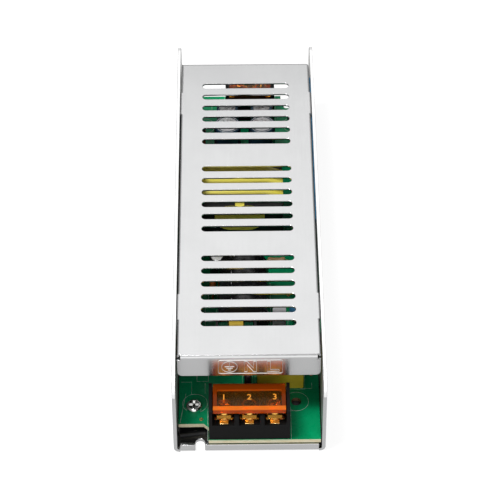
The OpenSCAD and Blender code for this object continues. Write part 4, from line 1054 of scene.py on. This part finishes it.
def device_face(centre, normal):
    """Metal on the tab and the legs, moulding elsewhere."""
    on_tab = centre.x > device_high.x - DEVICE_TAB or centre.z > device_foot + DEVICE_BODY_H + DEVICE_STEP
    return 1 if on_tab or centre.z < device_foot - TOLERANCE else 0


pad_blue = finish("pad_blue", (0.02, 0.18, 0.34), 0.5)
vary(pad_blue, 700, tints=((0.017, 0.155, 0.3), (0.023, 0.205, 0.38)), depth=0.01 * MM)
dressed("thermal_pad", [pad_blue], PAD_EDGE)
for node in ("switching_transistor", "output_rectifiers"):
    dressed(node, [part_black, tinned], DEVICE_EDGE, choose=device_face)
dressed("device_screws", [plated_steel], CSK_EDGE)
dressed("device_nuts", [plated_steel], NUT_EDGE)

# Slotted cover
# The cover is one folded sheet of the same aluminium, with punched slots in three groups and two flanges.
# It slides between the walls and is held by countersunk screws in its side tabs.

COVER_EDGE = 0.1 * MM
dressed("top_cover", [satin_aluminium], COVER_EDGE)
dressed("cover_screws", [plated_steel], CSK_EDGE)

# Flange marks
# A plain frame with the earth sign, N and L is stamped in the front flange above the ways they belong to.
# The strokes are the raised burrs of the stamp, in a lighter metal than the flange as a painted highlight.

MARK_LINE = 0.14 * MM
MARK_H = 0.3 * MM
FRAME_MIDDLE = Vector((0.5, 27.95, 0.0)) * MM
FRAME_SIZE = Vector((21.4, 6.5)) * MM
FRAME_CORNER = 0.8 * MM
EARTH_MIDDLE = Vector((-6.5, 27.95, 0.0)) * MM
EARTH_R = 2.6 * MM
LETTER_N_AT = Vector((-1.6, 25.5, 0.0)) * MM
LETTER_L_AT = Vector((6.0, 25.5, 0.0)) * MM
letter_n = (
    (0.0, 0.0), (0.0, 5.1), (1.0, 5.1), (3.1, 1.7), (3.1, 5.1),
    (4.1, 5.1), (4.1, 0.0), (3.1, 0.0), (1.0, 3.4), (1.0, 0.0),
)
letter_l = ((0.0, 0.0), (0.0, 5.1), (1.1, 5.1), (1.1, 0.9), (4.0, 0.9), (4.0, 0.0))
earth_bars = (
    ((-1.6, 0.1), (1.6, 0.1)),
    ((-1.05, -0.7), (1.05, -0.7)),
    ((-0.5, -1.5), (0.5, -1.5)),
    ((0.0, 1.9), (0.0, 0.1)),
)


def mark_path(corners, place, closed):
    """A line of the stamp at its place on the flange."""
    return [place + Vector((x, y, 0.0)) * MM for x, y in corners], closed


mark_paths = [mark_path(letter_n, LETTER_N_AT, True), mark_path(letter_l, LETTER_L_AT, True)]
mark_paths += [mark_path(bar, EARTH_MIDDLE, False) for bar in earth_bars]
# The burrs' metal is lighter than the flange's: a painted highlight on the stamp.
stamp_burr_and_painted_highlight = finish("stamp_burr_and_painted_highlight", (0.8, 0.8, 0.8), 0.5, metal=1.0)
vary(stamp_burr_and_painted_highlight, 1600, roughs=(0.42, 0.58))
mark_mesh = merged([
    strokes(mark_paths, MARK_LINE, MARK_H, stamp_burr_and_painted_highlight),
    rims([FRAME_MIDDLE], FRAME_SIZE.x, FRAME_SIZE.y, FRAME_CORNER, MARK_LINE, MARK_H, stamp_burr_and_painted_highlight),
    rings([EARTH_MIDDLE], EARTH_R, MARK_LINE, MARK_H, stamp_burr_and_painted_highlight),
])
flange_front = Matrix.Translation((0.0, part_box("top_cover")[0].y, 0.0))
mark_mesh.transform(flange_front @ Matrix.Rotation(math.pi / 2.0, 4, "X"))
put("flange_marks", mark_mesh, [stamp_burr_and_painted_highlight], "case")

# Floor and light
# A plain white floor under soft studio light: a large box at the back and a small key above on the left.
# A broad box in front and an even sky fill the shadows.

FLOOR_SIZE = 3.0
FLOOR_WHITE = 0.25
FLOOR_MIRRORED = 0.6
FLOOR_SHOWN = 0.84
FILL = 0.34
SKY_MIRRORED = 0.6
WHITE = (1.0, 1.0, 1.0, 1.0)
floor_corners = ((-1, -1), (1, -1), (1, 1), (-1, 1))


def seen_level(tree, bounced, mirrored, shown):
    """A strength that differs for bounced light, for mirror and clear-plastic rays and for the camera."""
    path = tree.nodes.new("ShaderNodeLightPath")
    either = tree.nodes.new("ShaderNodeMath")
    either.operation = "MAXIMUM"
    reflected = tree.nodes.new("ShaderNodeMapRange")
    reflected.inputs["To Min"].default_value = bounced
    reflected.inputs["To Max"].default_value = mirrored
    direct = tree.nodes.new("ShaderNodeMapRange")
    direct.inputs["To Max"].default_value = shown
    connect(
        tree,
        (path.outputs["Is Glossy Ray"], either.inputs[0]),
        (path.outputs["Is Transmission Ray"], either.inputs[1]),
        (either.outputs["Value"], reflected.inputs["Value"]),
        (reflected.outputs["Result"], direct.inputs["To Min"]),
        (path.outputs["Is Camera Ray"], direct.inputs["Value"]),
    )
    return direct.outputs["Result"]


floor_mesh = bpy.data.meshes.new("floor")
floor_points = [(x * FLOOR_SIZE, y * FLOOR_SIZE, 0.0) for x, y in floor_corners]
floor_mesh.from_pydata(floor_points, [], [(0, 1, 2, 3)])
floor = linked("floor", floor_mesh)
floor_white = finish("floor_white", (FLOOR_WHITE,) * 3, 0.9, gloss=0.0)
floor_tree = floor_white.node_tree
floor_shader = floor_tree.nodes["Principled BSDF"]
floor_shader.inputs["Emission Color"].default_value = WHITE
floor_level = seen_level(floor_tree, 0.0, FLOOR_MIRRORED, FLOOR_SHOWN)
connect(floor_tree, (floor_level, floor_shader.inputs["Emission Strength"]))
floor_mesh.materials.append(floor_white)

world = bpy.data.worlds.new("studio")
world.use_nodes = True
bpy.context.scene.world = world
sky_tree = world.node_tree
sky = sky_tree.nodes["Background"]
sky.inputs["Color"].default_value = WHITE
connect(sky_tree, (seen_level(sky_tree, FILL, SKY_MIRRORED, 1.0), sky.inputs["Strength"]))


def soft_box(name, place, size, power):
    """A square area lamp that looks at the object."""
    lamp = bpy.data.lights.new(name, "AREA")
    lamp.size = size
    lamp.energy = power
    holder = linked(name, lamp)
    holder.location = place
    holder.rotation_mode = "QUATERNION"
    holder.rotation_quaternion = (-Vector(place)).to_track_quat("-Z", "Y")


soft_box("back_box", place=(0.0, 0.54, 0.875), size=0.76, power=1.85)
soft_box("key_box", place=(-0.28, -0.12, 0.95), size=0.32, power=8.0)
soft_box("front_box", place=(0.1, -1.04, 0.5), size=1.1, power=4.0)

# Camera
# A long lens from the front, looking down over the input end.
# Its focal length is given in pixels of a square picture.

LENS_PIXELS = 2269.56
FRAME_PIXELS = 500.0
SENSOR = 36.0
NEAREST = 0.01
PITCH = math.radians(44.8)
YAW = math.radians(0.38)
ROLL = math.radians(-0.25)
TARGET = Vector((0.82, -25.16, 33.0)) * MM
DISTANCE = 784.67 * MM

forward = Vector((math.sin(YAW) * math.cos(PITCH), math.cos(YAW) * math.cos(PITCH), -math.sin(PITCH)))
level_right = Vector((math.cos(YAW), -math.sin(YAW), 0.0))
level_up = level_right.cross(forward)
right = math.cos(ROLL) * level_right + math.sin(ROLL) * level_up
up = math.cos(ROLL) * level_up - math.sin(ROLL) * level_right
lens = bpy.data.cameras.new("camera")
lens.sensor_width = SENSOR
lens.lens = LENS_PIXELS * SENSOR / FRAME_PIXELS
lens.clip_start = NEAREST
camera = linked("camera", lens)
camera.matrix_world = (
    Matrix.Translation(TARGET - forward * DISTANCE) @ Matrix((right, up, -forward)).transposed().to_4x4()
)
bpy.context.scene.camera = camera
bpy.context.scene.view_settings.view_transform = "Standard"
